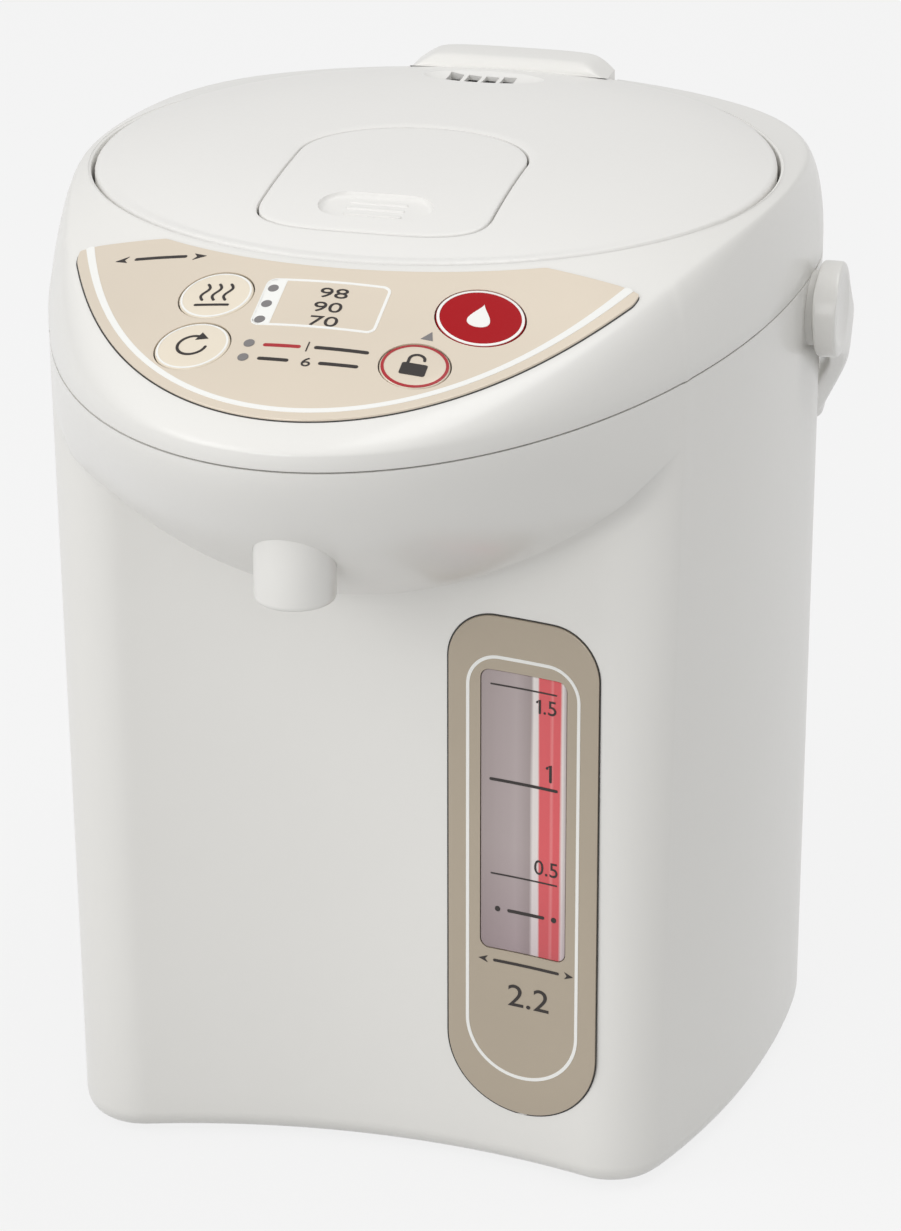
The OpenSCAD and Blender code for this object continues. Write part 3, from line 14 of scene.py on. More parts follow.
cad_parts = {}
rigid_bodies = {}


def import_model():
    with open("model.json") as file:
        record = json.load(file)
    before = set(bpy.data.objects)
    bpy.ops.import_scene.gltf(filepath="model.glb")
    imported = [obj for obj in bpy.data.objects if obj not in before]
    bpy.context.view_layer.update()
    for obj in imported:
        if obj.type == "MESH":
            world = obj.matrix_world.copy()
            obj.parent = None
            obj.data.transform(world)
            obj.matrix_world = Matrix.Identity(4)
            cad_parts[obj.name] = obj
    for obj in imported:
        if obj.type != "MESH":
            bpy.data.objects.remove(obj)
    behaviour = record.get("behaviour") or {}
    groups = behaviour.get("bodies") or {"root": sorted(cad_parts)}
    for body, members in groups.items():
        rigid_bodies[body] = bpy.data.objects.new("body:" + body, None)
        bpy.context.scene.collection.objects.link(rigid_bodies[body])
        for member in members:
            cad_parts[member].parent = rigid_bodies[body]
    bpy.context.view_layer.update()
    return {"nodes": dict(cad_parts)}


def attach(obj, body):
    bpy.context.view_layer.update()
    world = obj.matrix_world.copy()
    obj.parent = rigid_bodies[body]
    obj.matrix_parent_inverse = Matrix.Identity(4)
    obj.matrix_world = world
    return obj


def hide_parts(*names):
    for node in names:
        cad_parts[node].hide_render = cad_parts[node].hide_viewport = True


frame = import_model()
nodes = frame["nodes"]


def placed(name, data):
    """A new object with this data, put into the scene."""
    made = bpy.data.objects.new(name, data)
    bpy.context.scene.collection.objects.link(made)
    return made


# %% [markdown]
# ## The camera
# A long lens, well back and a little above the pot, keeps its upright edges nearly parallel.
# Its place and turn are given by three unit directions: right, up and back.
# %% The camera
CAMERA_AT = (0.3116, -1.2048, 0.6206)
CAMERA_AXES = ((0.9689, 0.2473, -0.0005), (-0.0908, 0.3577, 0.9294), (0.2300, -0.9005, 0.3691))
camera_data = bpy.data.cameras.new("camera")
camera_data.lens = 142.87
camera_data.sensor_width = 36
camera_data.clip_end = 30
camera = placed("camera", camera_data)
camera.matrix_world = Matrix.Translation(CAMERA_AT) @ Matrix(CAMERA_AXES).transposed().to_4x4()
bpy.context.scene.camera = camera
bpy.context.scene.view_settings.view_transform = "Standard"
print("camera height over the table:", CAMERA_AT[2])

# %% [markdown]
# ## From points to a mesh
# Every new piece is a grid: rows of points that run along one parameter, with another
# parameter across. A closed direction is wrapped, so that no seam is left open. Points that
# fall together, as at a pole, are merged before the normals are made to face outwards.
# %% Grids
MM = 0.001
MERGE_M, THIN_M = 2e-6, 1e-7     # points closer than this are one; thinner faces are dropped
EDGE_TURN = np.radians([30, 60, 90])       # the angles of a small rounded edge


def grid_faces(rows, columns, wrap_rows, wrap_columns):
    """Four corners for each cell: here, next column, next row and column, next row."""
    i = np.arange(rows if wrap_rows else rows - 1)[:, None]
    j = np.arange(columns if wrap_columns else columns - 1)[None, :]
    down, over = (i + 1) % rows, (j + 1) % columns
    return np.stack([i * columns + j, i * columns + over, down * columns + over,
                     down * columns + j], -1).reshape(-1, 4)


def mesh_of(name, points, faces):
    """A mesh from an array of points in millimetres and an array of corners."""
    mesh = bpy.data.meshes.new(name)
    mesh.from_pydata((np.asarray(points).reshape(-1, 3) * MM).tolist(), [], faces.tolist())
    made = bmesh.new()
    made.from_mesh(mesh)
    bmesh.ops.remove_doubles(made, verts=made.verts, dist=MERGE_M)
    bmesh.ops.dissolve_degenerate(made, edges=made.edges, dist=THIN_M)
    bmesh.ops.recalc_face_normals(made, faces=made.faces)
    made.to_mesh(mesh)
    made.free()
    return mesh


def grid_object(name, points, wrap_rows=False, wrap_columns=False):
    """An object whose mesh is one grid; points has the shape (rows, columns, 3)."""
    rows, columns = points.shape[:2]
    return placed(name, mesh_of(name, points, grid_faces(rows, columns, wrap_rows, wrap_columns)))


# %% [markdown]
# ## Cutting and finishing
# Holes are cut with closed cutters, and the result is kept as a plain mesh. A finished piece
# is shaded smooth, with a crease wherever two faces meet at more than the given angle, and
# rides on one of the pot's bodies.
# %% Cutting and finishing
def evaluated_mesh(made):
    """The mesh that the object's modifiers give, as a mesh of its own."""
    graph = bpy.context.evaluated_depsgraph_get()
    return bpy.data.meshes.new_from_object(made.evaluated_get(graph))


def cut(made, cutters, operation="DIFFERENCE"):
    """Takes each cutter away from the piece, or joins it, and deletes the cutters."""
    for cutter in cutters:
        step = made.modifiers.new("cut", "BOOLEAN")
        step.operation = operation
        step.object = cutter
        step.solver = "EXACT"
    made.data = evaluated_mesh(made)
    made.modifiers.clear()
    for cutter in cutters:
        bpy.data.objects.remove(cutter)
    return made


def finish_piece(made, body, finish, crease=32, replaces=()):
    """Smooth shading, finish, moving body and the solid that this piece stands for."""
    made.data.shade_smooth()
    made.data.set_sharp_from_angle(angle=math.radians(crease))
    made.data.materials.clear()
    made.data.materials.append(finish)
    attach(made, body)
    if replaces:
        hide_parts(*replaces)
    print(f"{made.name}: {len(made.data.polygons)} faces on {body}")
    return made


# %% [markdown]
# ## Plain cutters
# Two shapes do most of the cutting: a round bar between two points, and a prism that is a
# flat outline carried along a direction.
# %% Bars and prisms
def frame_along(direction):
    """Two unit directions across the given one, found with cross products."""
    ahead = np.asarray(direction, float) / np.linalg.norm(direction)
    rough = np.array([1.0, 0, 0]) if abs(ahead[0]) < 0.9 else np.array([0, 1.0, 0])
    side = np.cross(ahead, rough)
    side /= np.linalg.norm(side)
    return side, np.cross(ahead, side)


def closed_stack(name, rings):
    """A closed solid from a stack of rings; both ends are closed at their middle points."""
    rings = np.asarray(rings)
    first, last = rings[0].mean(0), rings[-1].mean(0)
    ends = [np.repeat(p[None, None], rings.shape[1], 1) for p in (first, last)]
    return grid_object(name, np.concatenate([ends[0], rings, ends[1]]), wrap_columns=True)


def round_bar(name, start, end, radius, sides=64):
    """A round bar: the ring start + r (side cos a + up sin a), carried to the end."""
    side, up = frame_along(np.subtract(end, start))
    a = np.linspace(0, 2 * np.pi, sides, endpoint=False)[:, None]
    ring = radius * (np.cos(a) * side + np.sin(a) * up)
    return closed_stack(name, [ring + start, ring + end])


def prism(name, outline, low, high):
    """An upright prism: the flat outline (x, y) drawn from height low to height high."""
    flat = np.asarray(outline, float)
    return closed_stack(name, [np.c_[flat, np.full(len(flat), z)] for z in (low, high)])


def box_prism(name, low, high):
    """A block between two corners, as a prism on its four-cornered outline."""
    (x0, y0, z0), (x1, y1, z1) = low, high
    return prism(name, [(x0, y0), (x1, y0), (x1, y1), (x0, y1)], z0, z1)

# %% [markdown]
# ## The table and the light
# The table is a wide pale sheet. For the camera it is partly self-lit, so that its tone stays
# even, while it still takes the pot's shadow. The light is a soft studio light: a large panel
# high on the left, one in front, one above and an even pale room. Shader nodes are made by one
# small helper, which sets or links every input.
# %% Table and light
ROOM_TONE, TABLE_GLOW, TABLE_LIT = 0.978, 0.85, 0.55
TABLE_HALF, TABLE_Z = 6000, -0.05


def node(tree, kind, feeds=(), **options):
    """A new shader node. The options are its own settings, and feeds gives its inputs: each is
    a plain value, or an output of another node that is linked to it."""
    made = tree.nodes.new("ShaderNode" + kind)
    for key, value in options.items():
        setattr(made, key, value)
    for key, value in dict(feeds).items():
        if isinstance(value, bpy.types.NodeSocket):
            tree.links.new(value, made.inputs[key])
        else:
            made.inputs[key].default_value = value
    return made


def tone_for_camera(name, strength, share, lit):
    """A surface that is part lit and part glowing for the camera and for reflections."""
    made = bpy.data.materials.new(name)
    made.use_nodes = True
    tree = made.node_tree
    tree.nodes.clear()
    rays = node(tree, "LightPath").outputs
    seen = node(tree, "Math", {0: rays["Is Camera Ray"], 1: rays["Is Glossy Ray"]}, operation="MAXIMUM")
    part = node(tree, "Math", {0: seen.outputs[0], 1: share}, operation="MULTIPLY")
    glow = node(tree, "Emission", {"Color": (1, 1, 1, 1), "Strength": strength})
    plain = node(tree, "BsdfDiffuse", {"Color": (lit, lit, lit, 1)})
    mix = node(tree, "MixShader", {0: part.outputs[0], 1: plain.outputs[0], 2: glow.outputs[0]})
    node(tree, "OutputMaterial", {"Surface": mix.outputs[0]})
    return made


def table_top(half, height):
    """A flat square of side 2 half at the given height, in millimetres."""
    x, y = np.meshgrid(np.linspace(-half, half, 5), np.linspace(-half, half, 5), indexing="ij")
    return grid_object("table", np.stack([x, y, np.full_like(x, height)], -1))


table = table_top(TABLE_HALF, TABLE_Z)
table.data.materials.append(tone_for_camera("pale table", ROOM_TONE, TABLE_GLOW, TABLE_LIT))
room = bpy.data.worlds.new("room")
bpy.context.scene.world = room
room.use_nodes = True
for key, value in (("Color", (1, 1, 1, 1)), ("Strength", 0.62)):
    room.node_tree.nodes["Background"].inputs[key].default_value = value


def soft_panel(name, at, towards, width, height, watts):
    """A rectangular lamp that faces a point."""
    data = bpy.data.lights.new(name, "AREA")
    data.shape = "RECTANGLE"
    data.size, data.size_y, data.energy = width, height, watts
    back = np.subtract(at, towards).astype(float)
    back /= np.linalg.norm(back)
    side = frame_along(back)[0]
    turn = Matrix([side, np.cross(back, side), back]).transposed().to_4x4()
    placed(name, data).matrix_world = Matrix.Translation(at) @ turn


soft_panel("window left", (-1.5, -1.1, 1.5), (0, 0, 0.14), 1.4, 1.2, 12)
soft_panel("front fill", (-0.45, -2.1, 0.8), (0, 0, 0.12), 1.0, 0.8, 11)
soft_panel("top", (0.65, 0.2, 2.1), (0, 0, 0.2), 1.2, 1.2, 11)

# %% [markdown]
# ## Finishes
# Moulded plastic isn't one flat colour: it has a faint orange-peel bump, a slight change of
# gloss and a barely visible change of tone. Each finish below is a Principled shader with
# noise on Object coordinates, so that the pattern keeps its scale on every piece. Plain numbers
# go straight on the shader's own sockets.
# %% Finishes
def noise_at(tree, place, scale, detail=2.0, stretch=(1, 1, 1)):
    """A noise of so many cells a metre, stretched along the axes."""
    mapped = node(tree, "Mapping", {"Vector": place, "Scale": stretch}).outputs[0]
    return node(tree, "TexNoise", {"Vector": mapped, "Scale": scale, "Detail": detail}).outputs["Fac"]


def scaled(tree, source, low, high, new_low, new_high):
    """Takes the span from low to high to a new span, and clamps it."""
    return node(tree, "MapRange", {"Value": source, "From Min": low, "From Max": high,
                                   "To Min": new_low, "To Max": new_high}).outputs["Result"]


PATCHES, NOISE_LOW, NOISE_HIGH, BUMP_M = 14.0, 0.3, 0.7, 0.0004


def surface(name, colour, rough, tone, grain, bump, stretch=(1, 1, 1), **plain):
    """A finish: colour with a faint change of tone, a span of roughness and a fine grain."""
    made = bpy.data.materials.new(name)
    made.use_nodes = True
    tree = made.node_tree
    shader = tree.nodes["Principled BSDF"]
    place = node(tree, "TexCoord").outputs["Object"]
    cloud = scaled(tree, noise_at(tree, place, PATCHES, 3.0), NOISE_LOW, NOISE_HIGH, 0, 1)
    mix = node(tree, "Mix", {"A": (*[c * (1 - tone) for c in colour], 1),
                             "B": (*[min(1, c * (1 + tone)) for c in colour], 1),
                             "Factor": cloud}, data_type="RGBA")
    fine = noise_at(tree, place, grain, 3.0, stretch)
    relief = node(tree, "Bump", {"Strength": bump, "Distance": BUMP_M, "Height": fine})
    for key, source in (("Base Color", mix.outputs["Result"]), ("Normal", relief.outputs["Normal"]),
                        ("Roughness", scaled(tree, fine, NOISE_LOW, NOISE_HIGH, *rough))):
        tree.links.new(source, shader.inputs[key])
    for key, value in plain.items():
        shader.inputs[key.replace("_", " ")].default_value = value
    return made


white_plastic = surface("pearl white plastic", (0.795, 0.785, 0.755), (0.30, 0.38), 0.008, 700.0,
                        0.015, Coat_Weight=0.25, Coat_Roughness=0.12)
lid_plastic = surface("lid white plastic", (0.80, 0.79, 0.765), (0.36, 0.44), 0.008, 700.0, 0.015,
                      Coat_Weight=0.10, Coat_Roughness=0.25)
champagne = surface("pearl champagne print", (0.74, 0.65, 0.53), (0.28, 0.36), 0.03, 2600.0, 0.02,
                    Coat_Weight=0.4, Coat_Roughness=0.15, Metallic=0.15)
plate_champagne = surface("gauge plate champagne", (0.43, 0.365, 0.28), (0.30, 0.38), 0.03, 2600.0,
                          0.02, Coat_Weight=0.4, Coat_Roughness=0.2, Metallic=0.15)
red_plastic = surface("red key plastic", (0.38, 0.005, 0.010), (0.42, 0.50), 0.03, 900.0, 0.01,
                      Specular_IOR_Level=0.12)
pale_key = surface("pale key plastic", (0.78, 0.70, 0.57), (0.30, 0.40), 0.04, 1800.0, 0.03,
                   Coat_Weight=0.3, Coat_Roughness=0.2)
# A painted shadow line: a near-black finish laid where there is only shade, round the film and the gauge
# plate.
painted_shadow_line = surface("shadow line", (0.03, 0.028, 0.026), (0.5, 0.6), 0.05, 900.0, 0.02)
print_white, print_dark, print_red, print_grey = [
    surface(name + " print", colour, rough, tone, 1500.0, 0.02) for name, colour, rough, tone in (
        ("white", (0.86, 0.86, 0.83), (0.35, 0.45), 0.01),
        ("dark brown", (0.022, 0.016, 0.014), (0.35, 0.5), 0.05),
        ("red", (0.40, 0.012, 0.02), (0.3, 0.4), 0.05),
        ("grey", (0.20, 0.19, 0.19), (0.35, 0.45), 0.05))]
print("finishes:", len(bpy.data.materials))

# %% [markdown]
# ## The pot's outline
# Seen from above, half of the outline is four runs: the hollow front (a circle that bows
# inwards), a small round corner, a long elliptic side and a squarish rear. Each point keeps
# its place on its run while the height changes, and that gives smooth walls. The numbers are
# the solids' own, in millimetres, because the skin has to sit exactly on them.
# %% Outline
SEAM_HALF_W, FOOT_HALF_W, SEAM_FRONT, FOOT_FRONT = 98.0, 96.5, 186.5, 172.0
BACK_LEN, WIDEST_Y, BACK_POWER, SEAM_Z, SEAM_GAP, WALL = 75.0, 24.0, 2.5, 225.6, 0.26, 2.5
FRONT_R, FRONT_MID_Y, CORNER_R = 200.0, 72.5, 16.0
FRONT_CENTRE_Y = -FRONT_MID_Y - FRONT_R
CORNER_END = math.radians(68)
CORNER_MID_Y = FRONT_CENTRE_Y + math.sqrt((FRONT_R + CORNER_R) ** 2 - 66.0 ** 2)
CORNER_END_Y = CORNER_MID_Y - CORNER_R * math.cos(CORNER_END)
RUNS = (64, 22, 44, 56)        # steps on the front, the corner, the side and the rear


def half_width(z):
    """Half width at height z: a straight taper from the foot to the seam."""
    return FOOT_HALF_W + (SEAM_HALF_W - FOOT_HALF_W) * z / SEAM_Z


def front_length(z):
    """Length of the front ellipse at height z, tapered in the same way."""
    return FOOT_FRONT + (SEAM_FRONT - FOOT_FRONT) * z / SEAM_Z


def side_x(y, z):
    """x on the side ellipse: half width times the root of 1 less the squared share of y."""
    return half_width(z) * np.sqrt(1 - ((y - WIDEST_Y) / front_length(z)) ** 2)


def corner_centre(z):
    """Middle of the front corner's circle, which touches the hollow front's circle."""
    x = side_x(CORNER_END_Y, z) - CORNER_R * math.sin(CORNER_END)
    return x, FRONT_CENTRE_Y + np.sqrt((FRONT_R + CORNER_R) ** 2 - x ** 2)


def half_outline(z, inset):
    """x and y of the right half. z has one row for each ring and one column for each point;
    inset moves the outline inwards. The runs, with s from 0 to 1 along each:
    front x = s end, y on the circle; corner and side by angle; rear x, y = cos, sin to 2/p."""
    a, b, c, d = RUNS
    z = np.asarray(z, float)
    inset = np.broadcast_to(np.asarray(inset, float), z.shape)
    middle_x, middle_y = corner_centre(z)
    s = np.arange(a) / a
    zi, xi = inset[:, :a], middle_x[:, :a]
    x = xi * (FRONT_R + zi) / (FRONT_R + CORNER_R) * s
    front = (x, FRONT_CENTRE_Y + np.sqrt((FRONT_R + zi) ** 2 - x ** 2))
    part = slice(a, a + b + 1)
    first = -np.arcsin(middle_x[:, part] / (FRONT_R + CORNER_R))
    angle = first + (CORNER_END - first) * np.arange(b + 1) / b
    r = CORNER_R - inset[:, part]
    corner = (middle_x[:, part] + r * np.sin(angle), middle_y[:, part] - r * np.cos(angle))
    part = slice(a + b + 1, a + b + c)
    low = np.arcsin((CORNER_END_Y - WIDEST_Y) / front_length(z[:, part]))
    t = low * (1 - np.arange(1, c) / c)
    side = ((half_width(z[:, part]) - inset[:, part]) * np.cos(t),
            WIDEST_Y + (front_length(z[:, part]) - inset[:, part]) * np.sin(t))
    part = slice(a + b + c, a + b + c + d + 1)
    t = np.pi / 2 * np.arange(d + 1) / d
    power = 2 / BACK_POWER
    rear = ((half_width(z[:, part]) - inset[:, part]) * np.abs(np.cos(t)) ** power,
            WIDEST_Y + (BACK_LEN - inset[:, part]) * np.sin(t) ** power)
    return [np.concatenate([run[k] for run in (front, corner, side, rear)], 1) for k in (0, 1)]


HALF_COUNT = sum(RUNS) + 1
CORNER_SHARE = np.clip((np.arange(HALF_COUNT) - RUNS[0]) / RUNS[1], 0, 1)


def whole_ring(x, y, z):
    """Both halves of each ring, the left one mirrored and run backwards."""
    back = slice(HALF_COUNT - 2, 0, -1)
    return np.stack([np.concatenate([x, -x[:, back]], 1), np.concatenate([y, y[:, back]], 1),
                     np.concatenate([z, z[:, back]], 1)], -1)


print("points in a ring:", 2 * HALF_COUNT - 2)

# %% [markdown]
# ## The body
# The real body is one moulding. Its hollow front flows up and out into a nose that carries
# the spout. The height at which the nose leaves the face rises from the middle to the
# corners, and above it each point moves forward on a curve until it meets the nose's own
# ellipse at the seam. Box modelling with subdivision could come close, but a formula keeps
# the blend even.
# %% The nose
BEAK_LOW, BEAK_HIGH, BEAK_POWER, BOWL_POWER, BEAK_BLEND = 166.0, 209.0, 1.9, 1.45, 9.0
FOOT_ROUND, FOOT_GAP = 6.0, 1.4
SHELL_TOP = SEAM_Z - SEAM_GAP / 2
BEAK_EDGE_X = float(side_x(CORNER_END_Y, BEAK_HIGH))


def smooth(t):
    """3t2 - 2t3, which leaves and arrives level."""
    t = np.clip(t, 0, 1)
    return t * t * (3 - 2 * t)


def nose_y(x, inset):
    """y of the nose's ellipse over x."""
    share = np.clip(x / (SEAM_HALF_W - inset), -1, 1)
    return WIDEST_Y - (SEAM_FRONT - inset) * np.sqrt(1 - share ** 2)


def body_ring(part, place, inset):
    """One ring. Part 0 is a plain height, part 1 a share of the straight wall, part 2 an angle
    along the soft blend below the nose, part 3 an angle along the nose's underside. With e the
    edge height, b the blend and o the way out to the nose: part 2 z = e - b (1 - sin a),
    out = b (1 - cos a); part 3 z = e + (top - e) (1 - cos^k a), out = b + (o - b) sin^k a."""
    flat = np.full((1, HALF_COUNT), BEAK_HIGH)
    rough_x = half_outline(flat, inset)[0]
    share = np.minimum(1, np.abs(rough_x) / BEAK_EDGE_X) ** BEAK_POWER
    edge = BEAK_LOW + (BEAK_HIGH - BEAK_LOW) * share + inset
    edge[:, RUNS[0] + RUNS[1] + 1:] = BEAK_HIGH + inset
    k = 2 / BOWL_POWER
    z = {0: lambda: np.full_like(edge, place),
         1: lambda: FOOT_GAP + FOOT_ROUND + (edge - BEAK_BLEND - FOOT_GAP - FOOT_ROUND) * place,
         2: lambda: edge - BEAK_BLEND * (1 - math.sin(place)),
         3: lambda: edge + (SHELL_TOP - edge) * (1 - max(0.0, math.cos(place)) ** k)}[part]()
    x, y = half_outline(z, inset)
    over = np.maximum(0, y - nose_y(x, inset))
    over[:, RUNS[0] + RUNS[1] + 1:] = 0
    fade = 1 - smooth((CORNER_SHARE - 0.72) / 0.28)
    over = over * (fade if part != 3 else fade + (1 - fade) * math.sin(place) ** 6)
    over[:, RUNS[0] + RUNS[1] + 1:] = 0
    blend = np.minimum(BEAK_BLEND, 0.45 * over)
    out = {2: lambda: blend * (1 - math.cos(place)),
           3: lambda: blend + (over - blend) * math.sin(place) ** k}.get(part, lambda: 0)()
    return whole_ring(x, y - out, z)


def body_skin():
    """The whole closed skin: the rounded foot, the wall, the nose, and back down inside."""
    foot = np.linspace(0, np.pi / 2, 9)[:-1]
    rows = [body_ring(0, FOOT_GAP + FOOT_ROUND * (1 - math.cos(a)), FOOT_ROUND * (1 - math.sin(a)))
            for a in foot]
    rows += [body_ring(1, s, 0) for s in np.linspace(0, 1, 26)]
    rows += [body_ring(2, a, 0) for a in np.radians(np.linspace(8, 90, 11))]
    rows += [body_ring(3, a, 0) for a in np.radians(np.linspace(4, 86, 21))]
    rows += [body_ring(3, np.pi / 2, s) for s in (0.0, WALL)]
    rows += [body_ring(3, a, WALL) for a in np.radians([75, 60, 45, 30, 15])]
    rows += [body_ring(2, a, WALL) for a in np.radians([90, 60, 30])]
    rows += [body_ring(1, s, WALL) for s in (1, 0.75, 0.5, 0.25, 0)]
    rows += [body_ring(0, FOOT_GAP, FOOT_ROUND + WALL)]
    return np.concatenate(rows)


body = grid_object("body_skin", body_skin(), wrap_rows=True, wrap_columns=True)
print("body:", len(body.data.vertices), "points")

# %% [markdown]
# ## What is cut into the body
# The nose has a round seat for the spout nozzle. The front face has a shallow bed for the
# gauge plate, with a window right through the wall, and the back has the opening of the mains
# inlet. Curved beds need curved cutters: a flat outline is scaled from its middle outwards,
# laid on the front's own circle at one depth, and then back at another.
# %% Cuts in the body
GAUGE_X, GAUGE_W, GAUGE_LOW, GAUGE_HIGH, GAUGE_TOP_R = 43.2, 42.0, 18.0, 159.0, 13.0
WINDOW_W, WINDOW_LOW, WINDOW_HIGH, WINDOW_R = 24.0, 65.0, 144.0, 2.5
PLATE_PROUD, PLATE_BACK = 0.5, 1.1
NOZZLE_R, NOZZLE_Y, NOZZLE_LOW = 10.2, 138.0, 184.0
PIVOT_Y, PIVOT_Z, BOSS_R, BOSS_FACE_X, PIN_R = 22.0, 216.0, 10.0, 99.6, 5.0
INLET_W, INLET_H, INLET_Z = 30.0, 20.0, 36.0
PLAY, LOOSE, THROUGH = 0.05, 0.15, 9       # play of pins and tubes, of plates; depth right through


def rounded_outline(x, low, width, high, radii, steps=12, along=24):
    """A box round x from low to high with its own corner radii: bottom right, top right, top
    left, bottom left. Each corner is a quarter circle of so many steps, and each straight run
    is divided too, so that the outline can follow a curved face."""
    x0, x1 = x - width / 2, x + width / 2
    places = ((x1, low, 1, -1, -90), (x1, high, 1, 1, 0), (x0, high, -1, 1, 90), (x0, low, -1, -1, 180))
    corners = []
    for (px, pz, sx, sz, start), r in zip(places, radii):
        a = np.radians(start + np.linspace(0, 90, steps + 1))
        middle = (px - sx * r, pz - sz * r)
        corners.append(np.c_[middle[0] + r * np.cos(a), middle[1] + r * np.sin(a)])
    share = np.linspace(0, 1, along + 1)[1:-1, None]
    runs = [here[-1] + (after[0] - here[-1]) * share
            for here, after in zip(corners, corners[1:] + corners[:1])]
    return np.concatenate([part for pair in zip(corners, runs) for part in pair])


def gauge_outline(grow=0.0):
    """The gauge plate's outline: a round foot and a flatter top."""
    foot = GAUGE_W / 2 + grow
    top = GAUGE_TOP_R + grow
    return rounded_outline(GAUGE_X, GAUGE_LOW - grow, GAUGE_W + 2 * grow, GAUGE_HIGH + grow,
                           (foot, top, top, foot), 24)


def window_outline(grow=0.0):
    """The window's outline, a box with small round corners."""
    r = max(0.4, WINDOW_R + grow)
    return rounded_outline(GAUGE_X, WINDOW_LOW - grow, WINDOW_W + 2 * grow, WINDOW_HIGH + grow, [r] * 4)


def on_face(x, z, depth):
    """Point of the hollow front: y on a circle of radius R + depth round its far centre."""
    return np.stack([x, FRONT_CENTRE_Y + np.sqrt((FRONT_R + depth) ** 2 - x ** 2), z], -1)


def curved_slab(name, outline, outer, inner, rings=14):
    """A closed slab between two depths: the outline scaled from 0 to 1 at the first depth and
    back to 0 at the second."""
    outline = np.asarray(outline, float)
    middle = outline.mean(0)
    share = np.linspace(0, 1, rings)[:, None, None]
    flat = middle + (outline - middle) * share
    front = on_face(flat[..., 0], flat[..., 1], outer)
    back = on_face(flat[::-1, :, 0], flat[::-1, :, 1], inner)
    return grid_object(name, np.concatenate([front, back]), wrap_columns=True)


def side_bars(name, y, z, near, far, radius):
    """Two bars along x, left and right, each from x = near to x = far."""
    return [round_bar(name, (s * near, y, z), (s * far, y, z), radius) for s in (-1, 1)]


cut(body, side_bars("boss", PIVOT_Y, PIVOT_Z, SEAM_HALF_W - 1.2, BOSS_FACE_X, BOSS_R), "UNION")
cut(body, side_bars("pivot hole", PIVOT_Y, PIVOT_Z, 92, 108, PIN_R + PLAY))
cut(body, [round_bar("nozzle seat", (0, -NOZZLE_Y, 160), (0, -NOZZLE_Y, SHELL_TOP - 2), NOZZLE_R + PLAY)])
cut(body, [curved_slab("gauge bed", gauge_outline(LOOSE), -THROUGH, PLATE_BACK + 0.02)])
cut(body, [curved_slab("window hole", window_outline(LOOSE), -THROUGH, THROUGH, 4)])
half_w, half_h = INLET_W / 2 + 0.2, INLET_H / 2 + 0.2
cut(body, [box_prism("inlet hole", (-half_w, 91, INLET_Z - half_h), (half_w, 110, INLET_Z + half_h))])
finish_piece(body, "base", white_plastic, 35, ["body_shell"])

# %% [markdown]
# ## The top cover
# The cover is one moulding with the sloping panel, the rounded shoulder and the well in which
# the lid lies. It is a section turned about the well's axis, but its reach changes with the
# direction: short at the sides, long towards the nose. Only the shoulder and the panel
# stretch, and the well stays round. Then come the notch for the hinge hump with its shelf and
# two lugs, the latch's room in the well's wall, and the holes for the keys and the lamps.
# %% Top cover
WELL_R, WELL_Z, LEDGE_Z, THROAT_R, THROAT_LOW = 91.0, 256.0, 243.0, 77.0, 225.0
SHOULDER, SHOULDER_EASE, PANEL_SLOPE, PANEL_EASE = 9.0, 15.0, 0.45, 0.004
COVER_LOW = SEAM_Z + SEAM_GAP / 2
STRAIGHT_Z = COVER_LOW + 4


def seam_ring(inset=0.0):
    """x and y of the seam: the body's outline, pulled forward to the nose in front."""
    x, y = half_outline(np.full((1, HALF_COUNT), SEAM_Z), inset)
    front = np.arange(HALF_COUNT) <= RUNS[0] + RUNS[1]
    y = np.where(front, np.minimum(y, nose_y(x, inset)), y)
    return whole_ring(x, y, np.zeros_like(x))[0, :, :2]


def panel_edge(reach):
    """Distance at which the flat panel ends: reach less s (1 - exp(-(reach - well) / ease))."""
    return reach - SHOULDER * (1 - np.exp(-(reach - WELL_R) / SHOULDER_EASE))


def panel_grade(reach):
    """Slope of the panel, which is a little less where the panel is long."""
    return PANEL_SLOPE * (1 - PANEL_EASE * (panel_edge(reach) - WELL_R))


def nose_reach(angle):
    """Distance to the nose's ellipse in a direction, from the ellipse's equation."""
    c, s = np.cos(angle) / SEAM_HALF_W, np.sin(angle) / SEAM_FRONT
    k = WIDEST_Y / SEAM_FRONT
    a, b = c * c + s * s, s * k
    return (b + np.sqrt(b * b + a * (1 - k * k))) / a


def rear_ease(x, y):
    """Behind the middle the panel grows flatter: 1 in front and at the sides, 0.35 behind."""
    return 1 - 0.65 * smooth(y / np.hypot(x, y) / 0.75)


def panel_z(x, y):
    """Height of the panel at a point."""
    reach = nose_reach(np.arctan2(y, x))
    return WELL_Z - panel_grade(reach) * (np.hypot(x, y) - WELL_R)


def panel_normal(x, y):
    """Upward normal of the panel, from differences of its height."""
    fall_x = panel_z(x - 0.5, y) - panel_z(x + 0.5, y)
    fall_y = panel_z(x, y - 0.5) - panel_z(x, y + 0.5)
    n = np.array([fall_x, fall_y, 1.0])
    return n / np.linalg.norm(n)


